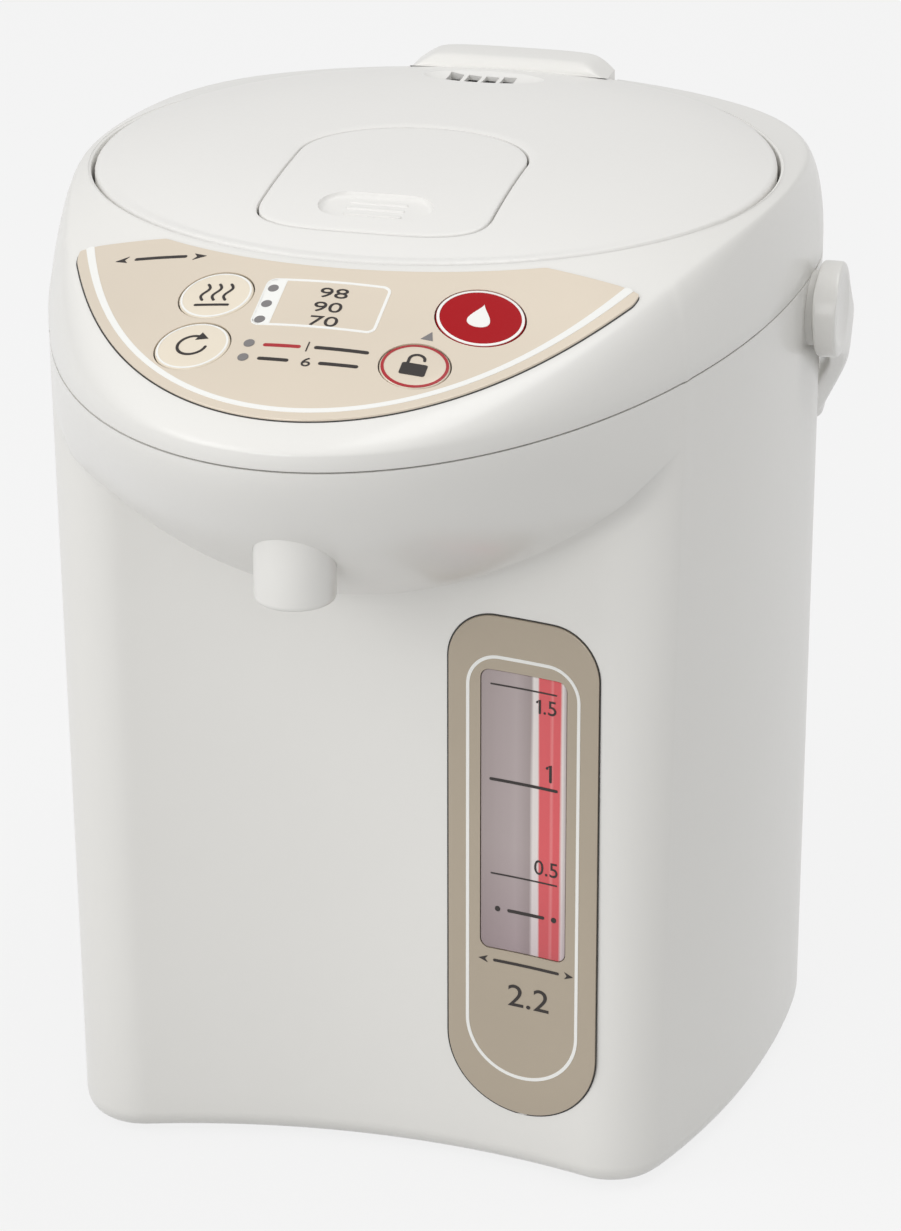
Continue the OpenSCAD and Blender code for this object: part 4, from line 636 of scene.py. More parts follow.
def cover_skin():
    """Rows of the section, each a distance and a height for every direction. The shoulder is
    a Bezier curve that leaves along the panel's slope and arrives upright."""
    ring = seam_ring()
    reach = np.linalg.norm(ring, axis=1)
    edge, grade = panel_edge(reach), panel_grade(reach) * rear_ease(*ring.T)
    edge_z = WELL_Z - grade * (edge - WELL_R)
    side, in_wall = reach - WALL, WELL_R + WALL
    in_edge = np.maximum(in_wall + 0.2, edge - WALL)
    in_edge_z = WELL_Z - grade * (in_edge - WELL_R) - WALL - 0.4
    one = np.ones_like(reach)
    rows = [(side, COVER_LOW), (side, STRAIGHT_Z)]
    for a in np.radians([22, 45, 68]):
        rows.append((side + (in_edge - side) * (1 - math.cos(a)),
                     STRAIGHT_Z + (in_edge_z - STRAIGHT_Z) * math.sin(a)))
    rows += [(in_edge, in_edge_z), (in_wall, WELL_Z - grade * WALL - WALL - 0.8),
             (in_wall, LEDGE_Z - WALL), (THROAT_R + WALL, LEDGE_Z - WALL),
             (THROAT_R + WALL, THROAT_LOW), (THROAT_R, THROAT_LOW), (THROAT_R, LEDGE_Z - 0.6),
             (THROAT_R + 0.18, LEDGE_Z - 0.18), (THROAT_R + 0.6, LEDGE_Z), (WELL_R, LEDGE_Z)]
    rim = 0.7
    for a in np.radians([0, 30, 60, 90]):
        rows.append((WELL_R + rim * (1 - math.cos(a)),
                     WELL_Z - rim * (1 - math.sin(a)) - 0.3 * math.sin(a)))
    for share in np.linspace(0.06, 1, 9):
        flat = WELL_R + (edge - WELL_R) * share
        rows.append((np.maximum(flat, WELL_R + rim * 1.1), WELL_Z - grade * (flat - WELL_R)))
    far_z = edge_z - grade * (reach - edge)
    ends = ((edge, edge_z), (edge + 0.52 * (reach - edge), edge_z - 0.52 * grade * (reach - edge)),
            (reach, STRAIGHT_Z + 0.56 * (far_z - STRAIGHT_Z)), (reach, STRAIGHT_Z * one))
    for t in np.linspace(0, 1, 17)[1:]:
        weights = ((1 - t) ** 3, 3 * t * (1 - t) ** 2, 3 * t * t * (1 - t), t ** 3)
        rows.append([sum(w * e[k] for w, e in zip(weights, ends)) for k in (0, 1)])
    rows += [(reach, COVER_LOW + 0.5), (reach - 0.15, COVER_LOW + 0.15), (reach - 0.5, COVER_LOW)]
    away = ring / reach[:, None]
    out = np.array([r * one for r, z in rows])
    up = np.array([z * one for r, z in rows])
    return np.concatenate([away * out[..., None], up[..., None]], -1)


KEYS = {"dispense": ((38.4, -105.5), 11.0), "unlock": ((27.6, -127.5), 8.6),
        "keep_warm": ((-28.3, -106.7), 9.4), "reboil": ((-28.5, -126.6), 9.4)}
LAMPS = [(-14.4, y) for y in (-104.4, -110.5, -116.6, -125.8, -131.2)]
KEY_GAP, LAMP_R = 0.35, 1.6
HINGE_Y, HINGE_Z, HUMP_HALF_W, HUMP_ROOM_Y = 88.0, 257.0, 28.0, 80.5
LUG_IN, LUG_OUT, LUG_R, LUG_FOOT, HINGE_BORE_R = 17.0, 20.8, 4.2, 3.6, 2.53
LATCH_HALF_W, LATCH_LOW, LATCH_HIGH = 12.5, 247.2, 250.1


def through_panel(name, at, radius, reach=6.0):
    """A round cutter along the panel's normal, as deep as it is high."""
    middle = np.array([*at, panel_z(*at)])
    n = panel_normal(*at)
    return round_bar(name, middle - n * reach, middle + n * reach, radius)


def key_holes():
    """One cutter for each key."""
    return [through_panel("key hole", at, r + KEY_GAP) for at, r in KEYS.values()]


cover = grid_object("cover_skin", cover_skin(), wrap_rows=True, wrap_columns=True)
notch = HUMP_HALF_W + 0.6
cut(cover, [box_prism("hump notch", (-notch, HINGE_Y - 16, LEDGE_Z - 1),
                      (notch, HINGE_Y + 20, WELL_Z + 5))])
cut(cover, [box_prism("hinge shelf", (-notch - 1, HINGE_Y - 3, LEDGE_Z - WALL - 0.5),
                      (notch + 1, WIDEST_Y + BACK_LEN - 1.2, LEDGE_Z - 0.6))], "UNION")
for s in (-1, 1):
    lug = round_bar("lug", (s * LUG_IN, HINGE_Y, HINGE_Z), (s * LUG_OUT, HINGE_Y, HINGE_Z), LUG_R)
    foot = box_prism("lug foot", (min(s * LUG_IN, s * LUG_OUT), HINGE_Y - LUG_FOOT, LEDGE_Z - 1),
                     (max(s * LUG_IN, s * LUG_OUT), HINGE_Y + LUG_FOOT, HINGE_Z))
    cut(cover, [lug, foot], "UNION")
cut(cover, [round_bar("hinge bore", (-30, HINGE_Y, HINGE_Z), (30, HINGE_Y, HINGE_Z), HINGE_BORE_R)])
cut(cover, [box_prism("latch room", (-LATCH_HALF_W, -WELL_R - 1.6, LATCH_LOW),
                      (LATCH_HALF_W, -WELL_R + 3, LATCH_HIGH))])
cut(cover, key_holes())
cut(cover, [through_panel("lamp hole", at, LAMP_R + 0.2) for at in LAMPS])
finish_piece(cover, "base", white_plastic, 33, ["top_cover"])

# %% [markdown]
# ## The lid
# The lid is a shallow dome that drops at its edge into the well. A hole with the outline of
# the push plate is left in it. The grid runs from that hole out to the round rim, so both
# edges are clean rows of points and each can be rounded. Steam leaves behind, through four
# slots in a shallow hollow, and the room under them keeps them dark.
# %% Lid cover
LID_GAP, CROWN, LID_WALL, LID_LOW = 0.9, 8.5, 2.4, 246.0
LID_R = WELL_R - LID_GAP
DOME_POWER, DOME_Y = 3.2, 4.0
PLATE_HALF_W, PLATE_MID_Y, PLATE_GAP = 30.6, 36.5, 0.5
PLATE_FRONT, PLATE_FRONT_LEN, PLATE_FRONT_POWER = -60.0, 15.8, 2.8
PLATE_REAR, PLATE_REAR_LEN, PLATE_REAR_POWER = -25.0, 25.8, 2.0
RIM_R, ABOVE = 1.4, 4            # the rim's rounding; how far a cutter stands over the dome
HOLLOW_AT, ROOM_AT, SLOT_Y, SLOT_TURN = (-2, 60.5), (-2, 61.5), 62.4, -6


def lid_top(x, y):
    """Height of the dome: well height + crown (1 - (r / R)^p), flat on top. Its highest point
    lies a little behind the middle of the rim."""
    return WELL_Z + CROWN * (1 - np.minimum(1, np.hypot(x, y - DOME_Y) / LID_R) ** DOME_POWER)


def plate_outline(grow=0.0, corner=56, side=14):
    """The push plate's outline: two straight sides between a front and a rear end. Each end is
    half of a superellipse, |x/a|^p + |y/b|^p = 1, and the rear one is much rounder."""
    ends = []
    for start, middle, length, power in ((np.pi, PLATE_FRONT, PLATE_FRONT_LEN, PLATE_FRONT_POWER),
                                         (0, PLATE_REAR, PLATE_REAR_LEN, PLATE_REAR_POWER)):
        a = start + np.linspace(0, np.pi, 2 * corner + 1)
        k = 2 / power
        ends.append(np.c_[np.sign(np.cos(a)) * np.abs(np.cos(a)) ** k * (PLATE_HALF_W + grow),
                          middle + np.sign(np.sin(a)) * np.abs(np.sin(a)) ** k * (length + grow)])
    share = np.linspace(0, 1, side + 1)[1:-1, None]
    runs = [here[-1] + (after[0] - here[-1]) * share for here, after in zip(ends, ends[::-1])]
    return np.concatenate([ends[0], runs[0], ends[1], runs[1]])


def rim_along(outline, radius):
    """Where the ray from the plate's middle through each outline point meets a circle."""
    away = outline - (0, -PLATE_MID_Y)
    away /= np.linalg.norm(away, axis=1)[:, None]
    b = -PLATE_MID_Y * away[:, 1]
    reach = -b + np.sqrt(b * b + radius ** 2 - PLATE_MID_Y ** 2)
    return (0, -PLATE_MID_Y) + away * reach[:, None]


def raised(flat, drop):
    """The flat points at the dome's height, less a drop."""
    return np.c_[flat, lid_top(flat[:, 0], flat[:, 1]) - drop]


def lid_skin():
    """From the hole's lower edge over the dome to the rim, down its side and back under."""
    hole, soft = plate_outline(), 0.6
    rows = [raised(hole, LID_WALL), raised(hole, soft), raised(plate_outline(0.3 * soft), 0.3 * soft)]
    inner, outer = plate_outline(soft), rim_along(hole, LID_R - RIM_R)
    rows += [raised(inner + (outer - inner) * s, 0) for s in np.linspace(0, 1, 26)]
    for a in EDGE_TURN:
        rim = rim_along(hole, LID_R - RIM_R * (1 - math.sin(a)))
        rows.append(np.c_[rim, lid_top(*outer.T) - RIM_R * (1 - math.cos(a))])
    for r, z in ((LID_R, LID_LOW), (LID_R - LID_WALL, LID_LOW)):
        rim = rim_along(hole, r)
        rows.append(np.c_[rim, np.full(len(rim), z)])
    under = rim_along(hole, LID_R - LID_WALL)
    rows += [raised(under + (hole - under) * s, LID_WALL) for s in np.linspace(0, 1, 12)[:-1]]
    return np.array(rows)


def steam_hollow(middle, half_x, half_y, depth):
    """A cutter over an elliptic patch of the dome. Along each direction it dips by
    depth (1 - s^k), with s from 0 to 1; k is 2 behind, for a soft rise, and 8 in front."""
    v = np.linspace(0, 2 * np.pi, 96, endpoint=False)
    away = np.c_[half_x * np.cos(v), half_y * np.sin(v)]
    k = 5 - 3 * np.sin(v)
    share = np.sin(np.linspace(0, np.pi / 2, 24))
    rows = [raised(middle + away * s, depth * (1 - s ** k)) for s in share]
    rows += [raised(middle + away * s, -ABOVE) for s in (1, 0)]
    return grid_object("steam hollow", np.array(rows), wrap_columns=True)


def steam_room(middle, half_x, half_y, roof, floor):
    """A cutter for the room under the slots, roof and floor being depths below the dome."""
    v = np.linspace(0, 2 * np.pi, 64, endpoint=False)
    away = np.c_[half_x * np.cos(v), half_y * np.sin(v)]
    rows = [raised(middle + away * s, floor) for s in (0, 1)]
    rows += [raised(middle + away * s, roof) for s in (1, 0.75, 0.5, 0.25, 0)]
    return grid_object("steam room", np.array(rows), wrap_columns=True)


def turned_box(name, middle, half_x, half_y, degrees, low, high):
    """An upright block, turned about its own middle."""
    a = math.radians(degrees)
    flat = np.array([(-half_x, -half_y), (half_x, -half_y), (half_x, half_y), (-half_x, half_y)])
    spun = flat @ np.array([[math.cos(a), math.sin(a)], [-math.sin(a), math.cos(a)]])
    return prism(name, spun + middle, low, high)


lid = grid_object("lid_skin", lid_skin(), wrap_rows=True, wrap_columns=True)
cut(lid, [steam_hollow(HOLLOW_AT, 17.0, 9.5, 2.3)])
cut(lid, [steam_room(ROOM_AT, 15.0, 9.0, 3.5, 8.0)])
cut(lid, [turned_box("steam slot", (x, SLOT_Y), 1.9, 4.8, SLOT_TURN, 240, 270)
          for x in (-11.5, -6.5, -1.5, 3.5)])
room_w, way_w = HUMP_HALF_W + 0.3, LATCH_HALF_W - 0.1
cut(lid, [box_prism("hump room", (-room_w, HUMP_ROOM_Y, LID_LOW - 1),
                    (room_w, HINGE_Y + 20, WELL_Z + CROWN + 1))])
cut(lid, [box_prism("latch way", (-way_w, -LID_R - 1, LID_LOW - 1),
                    (way_w, -LID_R + 6, LATCH_HIGH + 0.1))])
finish_piece(lid, "lid", lid_plastic, 30, ["lid_cover"])

# %% [markdown]
# ## The push plate
# The plate fills the hole in the lid and follows the same dome. A shallow stadium near its
# front edge takes the finger. The hollow has a soft floor edge and a crisp upper edge, as a
# moulded one has, so its cutter is a stack of stadium outlines that grow along a quarter
# circle. Three small bars stand in it. Below the plate hang the wedge that drives the latch
# and two arms with their pins.
# %% Push plate
PLATE_T, PLATE_AXIS_Y, PLATE_AXIS_Z = 2.4, -5.0, 257.0
FINGER_Y, FINGER_R, FINGER_HALF, FINGER_DEEP, PLATE_EDGE = -61.0, 7.2, 7.8, 1.3, 0.5
BAR_HALF_W, BAR_HALF_T, BAR_RISE, BAR_STEP = 7.6, 0.65, 0.35, 3.4


def plate_skin():
    """Rings of the outline, scaled from the middle: the dome, a soft edge and the underside."""
    middle = np.array((0, -PLATE_MID_Y))
    edge = plate_outline(-PLATE_GAP - PLATE_EDGE)
    rows = [raised(middle + (edge - middle) * s, 0) for s in np.linspace(0, 1, 30)]
    rows += [raised(plate_outline(-PLATE_GAP - PLATE_EDGE * (1 - math.sin(a))),
                    PLATE_EDGE * (1 - math.cos(a)))
             for a in EDGE_TURN]
    under = plate_outline(-PLATE_GAP)
    rows += [raised(middle + (under - middle) * s, PLATE_T) for s in np.linspace(1, 0, 12)]
    return np.array(rows)


def stadium(middle, half, radius, steps=24):
    """A straight-sided outline with two round ends."""
    a = np.linspace(-np.pi / 2, np.pi / 2, steps)
    right = np.c_[middle[0] + half + radius * np.cos(a), middle[1] + radius * np.sin(a)]
    left = np.c_[middle[0] - half - radius * np.cos(a), middle[1] - radius * np.sin(a)]
    return np.concatenate([right, left])


def finger_cutter():
    """Stadium outlines from the floor of the hollow up along a quarter circle, and on above."""
    floor = stadium((0, FINGER_Y), FINGER_HALF, FINGER_R - FINGER_DEEP)
    middle = np.array((0, FINGER_Y))
    rows = [raised(middle + (floor - middle) * s, FINGER_DEEP) for s in np.linspace(0, 1, 8)]
    for a in np.radians([15, 35, 60, 90]):
        ring = stadium((0, FINGER_Y), FINGER_HALF, FINGER_R - FINGER_DEEP * (1 - math.sin(a)))
        rows.append(raised(ring, FINGER_DEEP * math.cos(a)))
    rows += [raised(ring, -ABOVE), raised(np.repeat(middle[None], len(ring), 0), -ABOVE)]
    return np.array(rows)


def soft_bar(name, middle, half_x, half_y, rise, drop):
    """A small raised bar on the dome: a stadium whose rings rise along a quarter circle."""
    rows = []
    for a in np.radians([90, 60, 30, 0]):
        ring = stadium((0, 0), half_x - half_y, half_y - rise * (1 - math.sin(a)), 8) + middle
        rows.append(raised(ring, drop - rise * math.cos(a)))
    foot = raised(ring * 0 + stadium((0, 0), half_x - half_y, half_y, 8) + middle, drop + 0.4)
    return closed_stack(name, [foot, *rows])


plate = grid_object("plate_skin", plate_skin(), wrap_columns=True)
cut(plate, [grid_object("finger hollow", finger_cutter(), wrap_columns=True)])
cut(plate, [soft_bar("bar", (0, FINGER_Y + y), BAR_HALF_W, BAR_HALF_T, BAR_RISE, FINGER_DEEP)
            for y in (-BAR_STEP, 0, BAR_STEP)], "UNION")
NOSE_HALF_W, NOSE_FRONT, NOSE_LOW, NOSE_TIP, NOSE_H = 5.0, -72.0, 250.6, 0.8, 5.5
LATCH_TRAVEL, PLATE_TILT = 3.0, 3.5
wedge_rate = LATCH_TRAVEL / (abs(NOSE_FRONT + 1 - PLATE_AXIS_Y) * math.sin(math.radians(PLATE_TILT)))
wedge = [(NOSE_FRONT, NOSE_LOW), (NOSE_FRONT + NOSE_TIP, NOSE_LOW),
         (NOSE_FRONT + NOSE_TIP + NOSE_H * wedge_rate, NOSE_LOW + NOSE_H),
         (NOSE_FRONT + 6, 257.6), (NOSE_FRONT, 257.4)]


def side_prism(name, outline, x0, x1):
    """A prism on an outline given in y and z, drawn from x0 to x1."""
    flat = np.asarray(outline, float)
    return closed_stack(name, [np.c_[np.full(len(flat), x), flat] for x in (x0, x1)])


cut(plate, [side_prism("wedge", wedge, -NOSE_HALF_W, NOSE_HALF_W)], "UNION")
ARM_X, ARM_HALF, KNUCKLE_R, PLATE_PIN_R, PLATE_PIN_END = 20, 1.5, 2.6, 1.5, 25.9
for s in (-1, 1):
    near, far = s * ARM_X - ARM_HALF, s * ARM_X + ARM_HALF
    arm = box_prism("arm", (near, PLATE_AXIS_Y - 2.4, PLATE_AXIS_Z), (far, PLATE_AXIS_Y + 1.6, 262))
    knuckle = round_bar("knuckle", (near, PLATE_AXIS_Y, PLATE_AXIS_Z),
                        (far, PLATE_AXIS_Y, PLATE_AXIS_Z), KNUCKLE_R)
    pin = round_bar("pin", (s * (ARM_X - ARM_HALF), PLATE_AXIS_Y, PLATE_AXIS_Z),
                    (s * PLATE_PIN_END, PLATE_AXIS_Y, PLATE_AXIS_Z), PLATE_PIN_R)
    cut(plate, [arm, knuckle, pin], "UNION")
finish_piece(plate, "push_plate", lid_plastic, 30, ["push_plate"])

# %% [markdown]
# ## The hinge hump
# Behind the lid a low hump covers the hinge. It is nearly level on top, with a short steep
# front that stands on the dome. One side view is carried along x. Towards the two ends the
# view sinks along a slanted end line, and a soft minimum rounds the corner between the two.
# %% Hinge hump
HUMP_FRONT, HUMP_BACK, HUMP_TOP, HUMP_LOW, HUMP_WALL = 77.6, 96.0, 262.6, 246.4, 2.2
HUMP_END_Z, HUMP_END_GRADE, HUMP_END_SOFT, HUMP_CHEEK = 257.6, 0.72, 1.5, 2.4


def rounded_path(corners, radii, steps=7):
    """A path through corners, each replaced by a quadratic curve that starts and ends at the
    given distance from the corner."""
    corners = np.asarray(corners, float)
    path = [corners[0]]
    t = np.linspace(0, 1, steps)[:, None]
    for before, here, after, r in zip(corners, corners[1:], corners[2:], radii):
        start = here + (before - here) / np.linalg.norm(before - here) * r
        end = here + (after - here) / np.linalg.norm(after - here) * r
        path.extend((1 - t) ** 2 * start + 2 * t * (1 - t) * here + t * t * end)
    path.append(corners[-1])
    return np.array(path)


def soft_min(a, b, soft):
    """The smaller of two heights with a rounded change: (a + b - root((a - b)2 + s2)) / 2."""
    return (a + b - np.sqrt((a - b) ** 2 + soft ** 2)) / 2


def hump_skin():
    """Rings along x. Each is the side view, cut off by the end line
    z = foot + grade (half width - |x|), and its front lies on the dome. Towards the ends the
    front sweeps back and the rear comes forward; the last rings are solid cheeks."""
    top = rounded_path([(HUMP_FRONT, 257), (HUMP_FRONT + 0.6, 260.4), (HUMP_FRONT + 3.6, HUMP_TOP),
                        (HUMP_BACK - 0.1, HUMP_TOP - 0.6), (HUMP_BACK, HUMP_LOW)], (0.8, 2.2, 1.8))
    seat = np.array([(HUMP_BACK - HUMP_WALL, HUMP_LOW), (HUMP_BACK - HUMP_WALL, 260), (92.5, 261.9),
                     (84, 261.9), (HUMP_ROOM_Y + 1.2, 260.4), (HUMP_ROOM_Y + 0.8, 257)])
    under = np.c_[np.linspace(HUMP_ROOM_Y + 0.2, HUMP_FRONT, 4), np.zeros(4)]
    line = np.concatenate([top, seat, under])
    low = np.arange(len(line)) >= len(top) + len(seat)
    u = np.sin(np.linspace(-np.pi / 2, np.pi / 2, 91))
    rows = []
    for x in HUMP_HALF_W * np.sign(u) * np.abs(u) ** 0.75:
        y, z = line[:, 0].copy(), line[:, 1].copy()
        floor = lid_top(np.full_like(y, x), np.minimum(y, 86.5)) - 0.05
        inside = (np.arange(len(line)) >= len(top)) & ~low
        end = HUMP_END_Z + HUMP_END_GRADE * (HUMP_HALF_W - abs(x)) + HUMP_END_SOFT * 0.5 - 0.7 * inside
        z = np.where(z > 250, soft_min(z, end, HUMP_END_SOFT), z)
        z = np.where(inside & (abs(x) > HUMP_HALF_W - HUMP_CHEEK), HUMP_LOW + 0.1, z)
        z = np.where(low | ((y < HUMP_ROOM_Y) & (z < floor)), floor, z)
        swept = 0.05 * max(0, abs(x) - 16) ** 1.4 * (HUMP_FRONT + 5 - y) / 5
        y = np.where(y < HUMP_FRONT + 5, y + swept, y)
        y = np.where(y > 88, 88 + (y - 88) * (1 - 0.55 * (abs(x) / HUMP_HALF_W) ** 4), y)
        rows.append(np.c_[np.full_like(y, x), y, z])
    return np.array(rows)


hump = closed_stack("hump_skin", hump_skin())
lug_mid, lug_half = (LUG_IN + LUG_OUT) / 2, (LUG_OUT - LUG_IN) / 2 + 0.6
cut(hump, [box_prism("lug way", (s * lug_mid - lug_half, HUMP_BACK - 4, 240),
                     (s * lug_mid + lug_half, HUMP_BACK + 6, HINGE_Z + 3)) for s in (-1, 1)])
finish_piece(hump, "lid", white_plastic, 40, ["hinge_cover"])

# %% [markdown]
# ## The carrying handle
# The handle is a bow with two round ears. Two lines in its own plane, the outer and the inner
# edge, are computed with the same number of points, and a rounded box section is set between
# each pair. Its half height follows the ear's circle first, and then the slimmer arm. Each ear
# has a shallow dish outside and a blind bore for its pin inside, and the grip has four finger
# grooves. The bow is worked out flat, then turned to its rest and moved to the pivots.
# %% Handle
EAR_R, EAR_X, EAR_T, ARM_T, ARM_HALF_H = 12.9, 106.4, 6.3, 6.2, 9.0
EAR_RIM, EAR_DIP, PIN_END_X, GROOVE_R, GROOVES = 2.2, 0.9, 105.05, 5.0, (-30, -10, 10, 30)
HANDLE_LEN, HANDLE_REST, ELBOW_R, INNER_ELBOW_R, GRIP_T = 110.0, 31.0, 24.0, 12.0, 15.0
END_S = HANDLE_LEN + 8.5
BEND_START, BEND_SOFT, BEND_RATE = 24.0, 8.0, 0.252


def arm_out(s):
    """x of the arm's outer face: upright first, then leaning in along a soft bend."""
    return EAR_X - BEND_RATE * (np.sqrt((s - BEND_START) ** 2 + BEND_SOFT ** 2) + s - BEND_START) / 2


def arm_in(s):
    """x of the inner face: the ear is a little thicker than the arm."""
    return arm_out(s) - (ARM_T + (EAR_T - ARM_T) / (1 + np.exp((s - EAR_R - 2) / 1.5)))


def half_edge(line, last_s, radius, reach, counts):
    """Right half of an edge, from the ear's tip by the elbow to the middle of the grip."""
    arm, turn, grip = counts
    tip = EAR_R * (1 - np.cos(np.linspace(0, np.pi / 2, 12))) - EAR_R
    s = np.concatenate([tip, np.linspace(0, last_s, arm)[1:]])
    middle_x = line(last_s) - radius
    a = np.linspace(0, np.pi / 2, turn + 1)[1:]
    bend = np.c_[middle_x + radius * np.cos(a), last_s + radius * np.sin(a)]
    rest = np.c_[np.linspace(middle_x, 0, grip + 1)[1:], np.full(grip, reach)]
    return np.concatenate([np.c_[line(s), s], bend, rest])


def ear_height(s):
    """Half height: the ear's circle up to half its radius, then a soft fall to the arm's."""
    join = 0.5 * EAR_R
    at_join = math.sqrt(EAR_R ** 2 - join ** 2)
    slope = -join / at_join
    span = 1.7 * EAR_R - join
    t = np.clip((s - join) / span, 0, 1)
    fall = ((2 * t ** 3 - 3 * t ** 2 + 1) * at_join + (t ** 3 - 2 * t ** 2 + t) * span * slope
            + (3 * t ** 2 - 2 * t ** 3) * ARM_HALF_H)
    circle = np.sqrt(np.maximum(0, EAR_R ** 2 - s ** 2))
    return np.where(s < join, circle, fall)


def rounded_section(count, power):
    """A superellipse: both coordinates are cos and sin to the power 2 / p, with their signs."""
    a = np.linspace(0, 2 * np.pi, count, endpoint=False)
    return [np.sign(f) * np.abs(f) ** (2 / power) for f in (np.cos(a), np.sin(a))]


def handle_rings():
    """One section for each pair of edge points, in the handle's own plane."""
    counts = (46, 18, 24)
    outer = half_edge(arm_out, END_S - ELBOW_R, ELBOW_R, END_S, counts)
    inner = half_edge(arm_in, END_S - GRIP_T - INNER_ELBOW_R, INNER_ELBOW_R, END_S - GRIP_T, counts)
    along = (outer[:, 1] + inner[:, 1]) / 2
    half = ear_height(along)
    crisp = smooth((1.6 * EAR_R - along) / (0.8 * EAR_R))[:, None]
    across, up = [crisp * sharp + (1 - crisp) * round_one
                  for sharp, round_one in zip(rounded_section(48, 9), rounded_section(48, 4.2))]
    middle, reach = (outer + inner) / 2, (outer - inner) / 2
    flat = middle[:, None] + reach[:, None] * across[..., None]
    rings = np.concatenate([flat, (half[:, None] * up)[..., None]], -1)
    return np.concatenate([rings, (rings * (-1, 1, 1))[-2::-1]])


def ear_dish(side):
    """A cutter for the ear's shallow dish: x = face - dip (1 - s^2), radius = s times the
    dish's own, then a drum out to the open."""
    v = side * np.linspace(0, 2 * np.pi, 72, endpoint=False)
    reach = EAR_R - EAR_RIM
    share = np.sin(np.linspace(0, np.pi / 2, 14))
    shape = [(EAR_X - 0.1 - EAR_DIP * (1 - s ** 2), reach * s) for s in share]
    shape += [(EAR_X + 4, reach), (EAR_X + 4, 0)]
    rows = [np.c_[np.full_like(v, side * x), r * np.cos(v), r * np.sin(v)] for x, r in shape]
    return grid_object("ear dish", np.array(rows), wrap_columns=True)


handle = closed_stack("handle_skin", handle_rings())
cut(handle, [ear_dish(s) for s in (-1, 1)])
cut(handle, side_bars("pivot bore", 0, 0, 80, PIN_END_X, PIN_R + 0.06))
groove_s = END_S - GRIP_T - 2.4
cut(handle, [round_bar("groove", (x, groove_s, -30), (x, groove_s, 30), GROOVE_R) for x in GROOVES])
handle.data.transform(Matrix.Translation((0, PIVOT_Y * MM, PIVOT_Z * MM)) @
                      Matrix.Rotation(math.radians(-HANDLE_REST), 4, "X"))
finish_piece(handle, "handle", white_plastic, 35, ["handle"])

# %% [markdown]
# ## The spout nozzle
# A short, thick tube with a round lower edge, turned about its own axis.
# %% Spout nozzle
def nozzle_skin():
    """The outline in radius and height, turned: round lip, outer wall, top, and the bore."""
    lip = [(8.6 + 1.6 * math.cos(a), 1.6 - 1.6 * math.sin(a)) for a in np.radians([0, 22, 45, 67, 90])]
    inner = [(8.4, 0.0), (7.9, 0.5), (4.6, 3.0), (4.5, 12.0), (5.25, 12.0), (5.25, 20.0), (6.5, 20.0)]
    outline = np.array([(6.5, 24.0), (9.6, 24.0), (10.2, 23.4), (10.2, 12.0)] + lip + inner)
    a = np.linspace(0, 2 * np.pi, 96, endpoint=False)
    r, z = outline[:, :1], outline[:, 1:]
    return np.stack([r * np.cos(a), r * np.sin(a) - NOZZLE_Y, NOZZLE_LOW + z + 0 * a], -1)


nozzle = grid_object("nozzle_skin", nozzle_skin(), wrap_rows=True, wrap_columns=True)
finish_piece(nozzle, "base", white_plastic, 40, ["spout_nozzle"])

# %% [markdown]
# ## The film on the panel
# A thin champagne film is glued on the sloping panel. Its grid runs from left to right in
# directions round the well's axis. In each direction one flat section with soft edges reaches
# from the upper edge to the lower one, and it closes to a point at both ends. The upper edge
# runs along the well and goes over into two straight wings. A dark sheet under it, a little
# larger and much thinner, is a painted shadow line round the film.
# %% Film
FILM_SEAT, FILM_T, FILM_HALF, FILM_END = 0.18, 0.5, math.radians(42), 0.05
FILM_LOW_R, WING_X = WELL_R + 4.0, 49.0
WING_Y = -math.sqrt(FILM_LOW_R ** 2 - WING_X ** 2)
WING_FALL = (12 - WELL_R - WING_Y) / (73 - WING_X)


def film_upper(angle):
    """Distance of the upper edge: one radius along the well, and beyond the wing's start the
    distance to the wing's straight line."""
    c = np.abs(np.cos(angle))
    wing = (WING_FALL * WING_X - WING_Y) / (WING_FALL * c - np.sin(angle))
    return np.where(FILM_LOW_R * c < WING_X, FILM_LOW_R, wing)


def film_lower(angle):
    """Distance of the lower edge, just inside the panel's own edge."""
    return panel_edge(nose_reach(angle)) - 0.6


def film_sheet(name, grow, low, high, soft):
    """The sheet's rings, one for each direction, between two heights over the panel."""
    angle = -np.pi / 2 + FILM_HALF * np.sin(np.linspace(-np.pi / 2, np.pi / 2, 181))
    t = np.abs(angle + np.pi / 2) / FILM_HALF
    fullness = np.sqrt(np.maximum(0.004, 1 - (np.maximum(0, t - 1 + FILM_END) / FILM_END) ** 2))
    inner, outer = film_upper(angle), film_lower(angle)
    middle, half = (inner + outer) / 2, (outer - inner) / 2 * fullness + grow
    rings = []
    for mid, h, a in zip(middle, half, angle):
        across = np.concatenate([np.linspace(h, -h, 8), [-h, -h + 0.3 * soft, -h + soft],
                                 np.linspace(-h + 1.5 * soft, h - 1.5 * soft, 30),
                                 [h - soft, h - 0.3 * soft, h]])
        lift = np.concatenate([np.full(8, low), [high - soft, high - 0.3 * soft, high],
                               np.full(30, high), [high, high - 0.3 * soft, high - soft]])
        x, y = (mid + across) * np.cos(a), (mid + across) * np.sin(a)
        rings.append(np.stack([x, y, panel_z(x, y) + lift], -1))
    return closed_stack(name, rings)


film = cut(film_sheet("film_skin", 0, FILM_SEAT, FILM_SEAT + FILM_T, 0.12), key_holes())
finish_piece(film, "base", champagne, 40, ["panel_film"])
# The film_shadow sheet is painted shade: a dark band just beyond the film's edge, where only shadow
# falls.
film_shadow = cut(film_sheet("film_shadow", 0.32, 0.02, FILM_SEAT - 0.01, 0.03), key_holes())
finish_piece(film_shadow, "base", painted_shadow_line, 40)

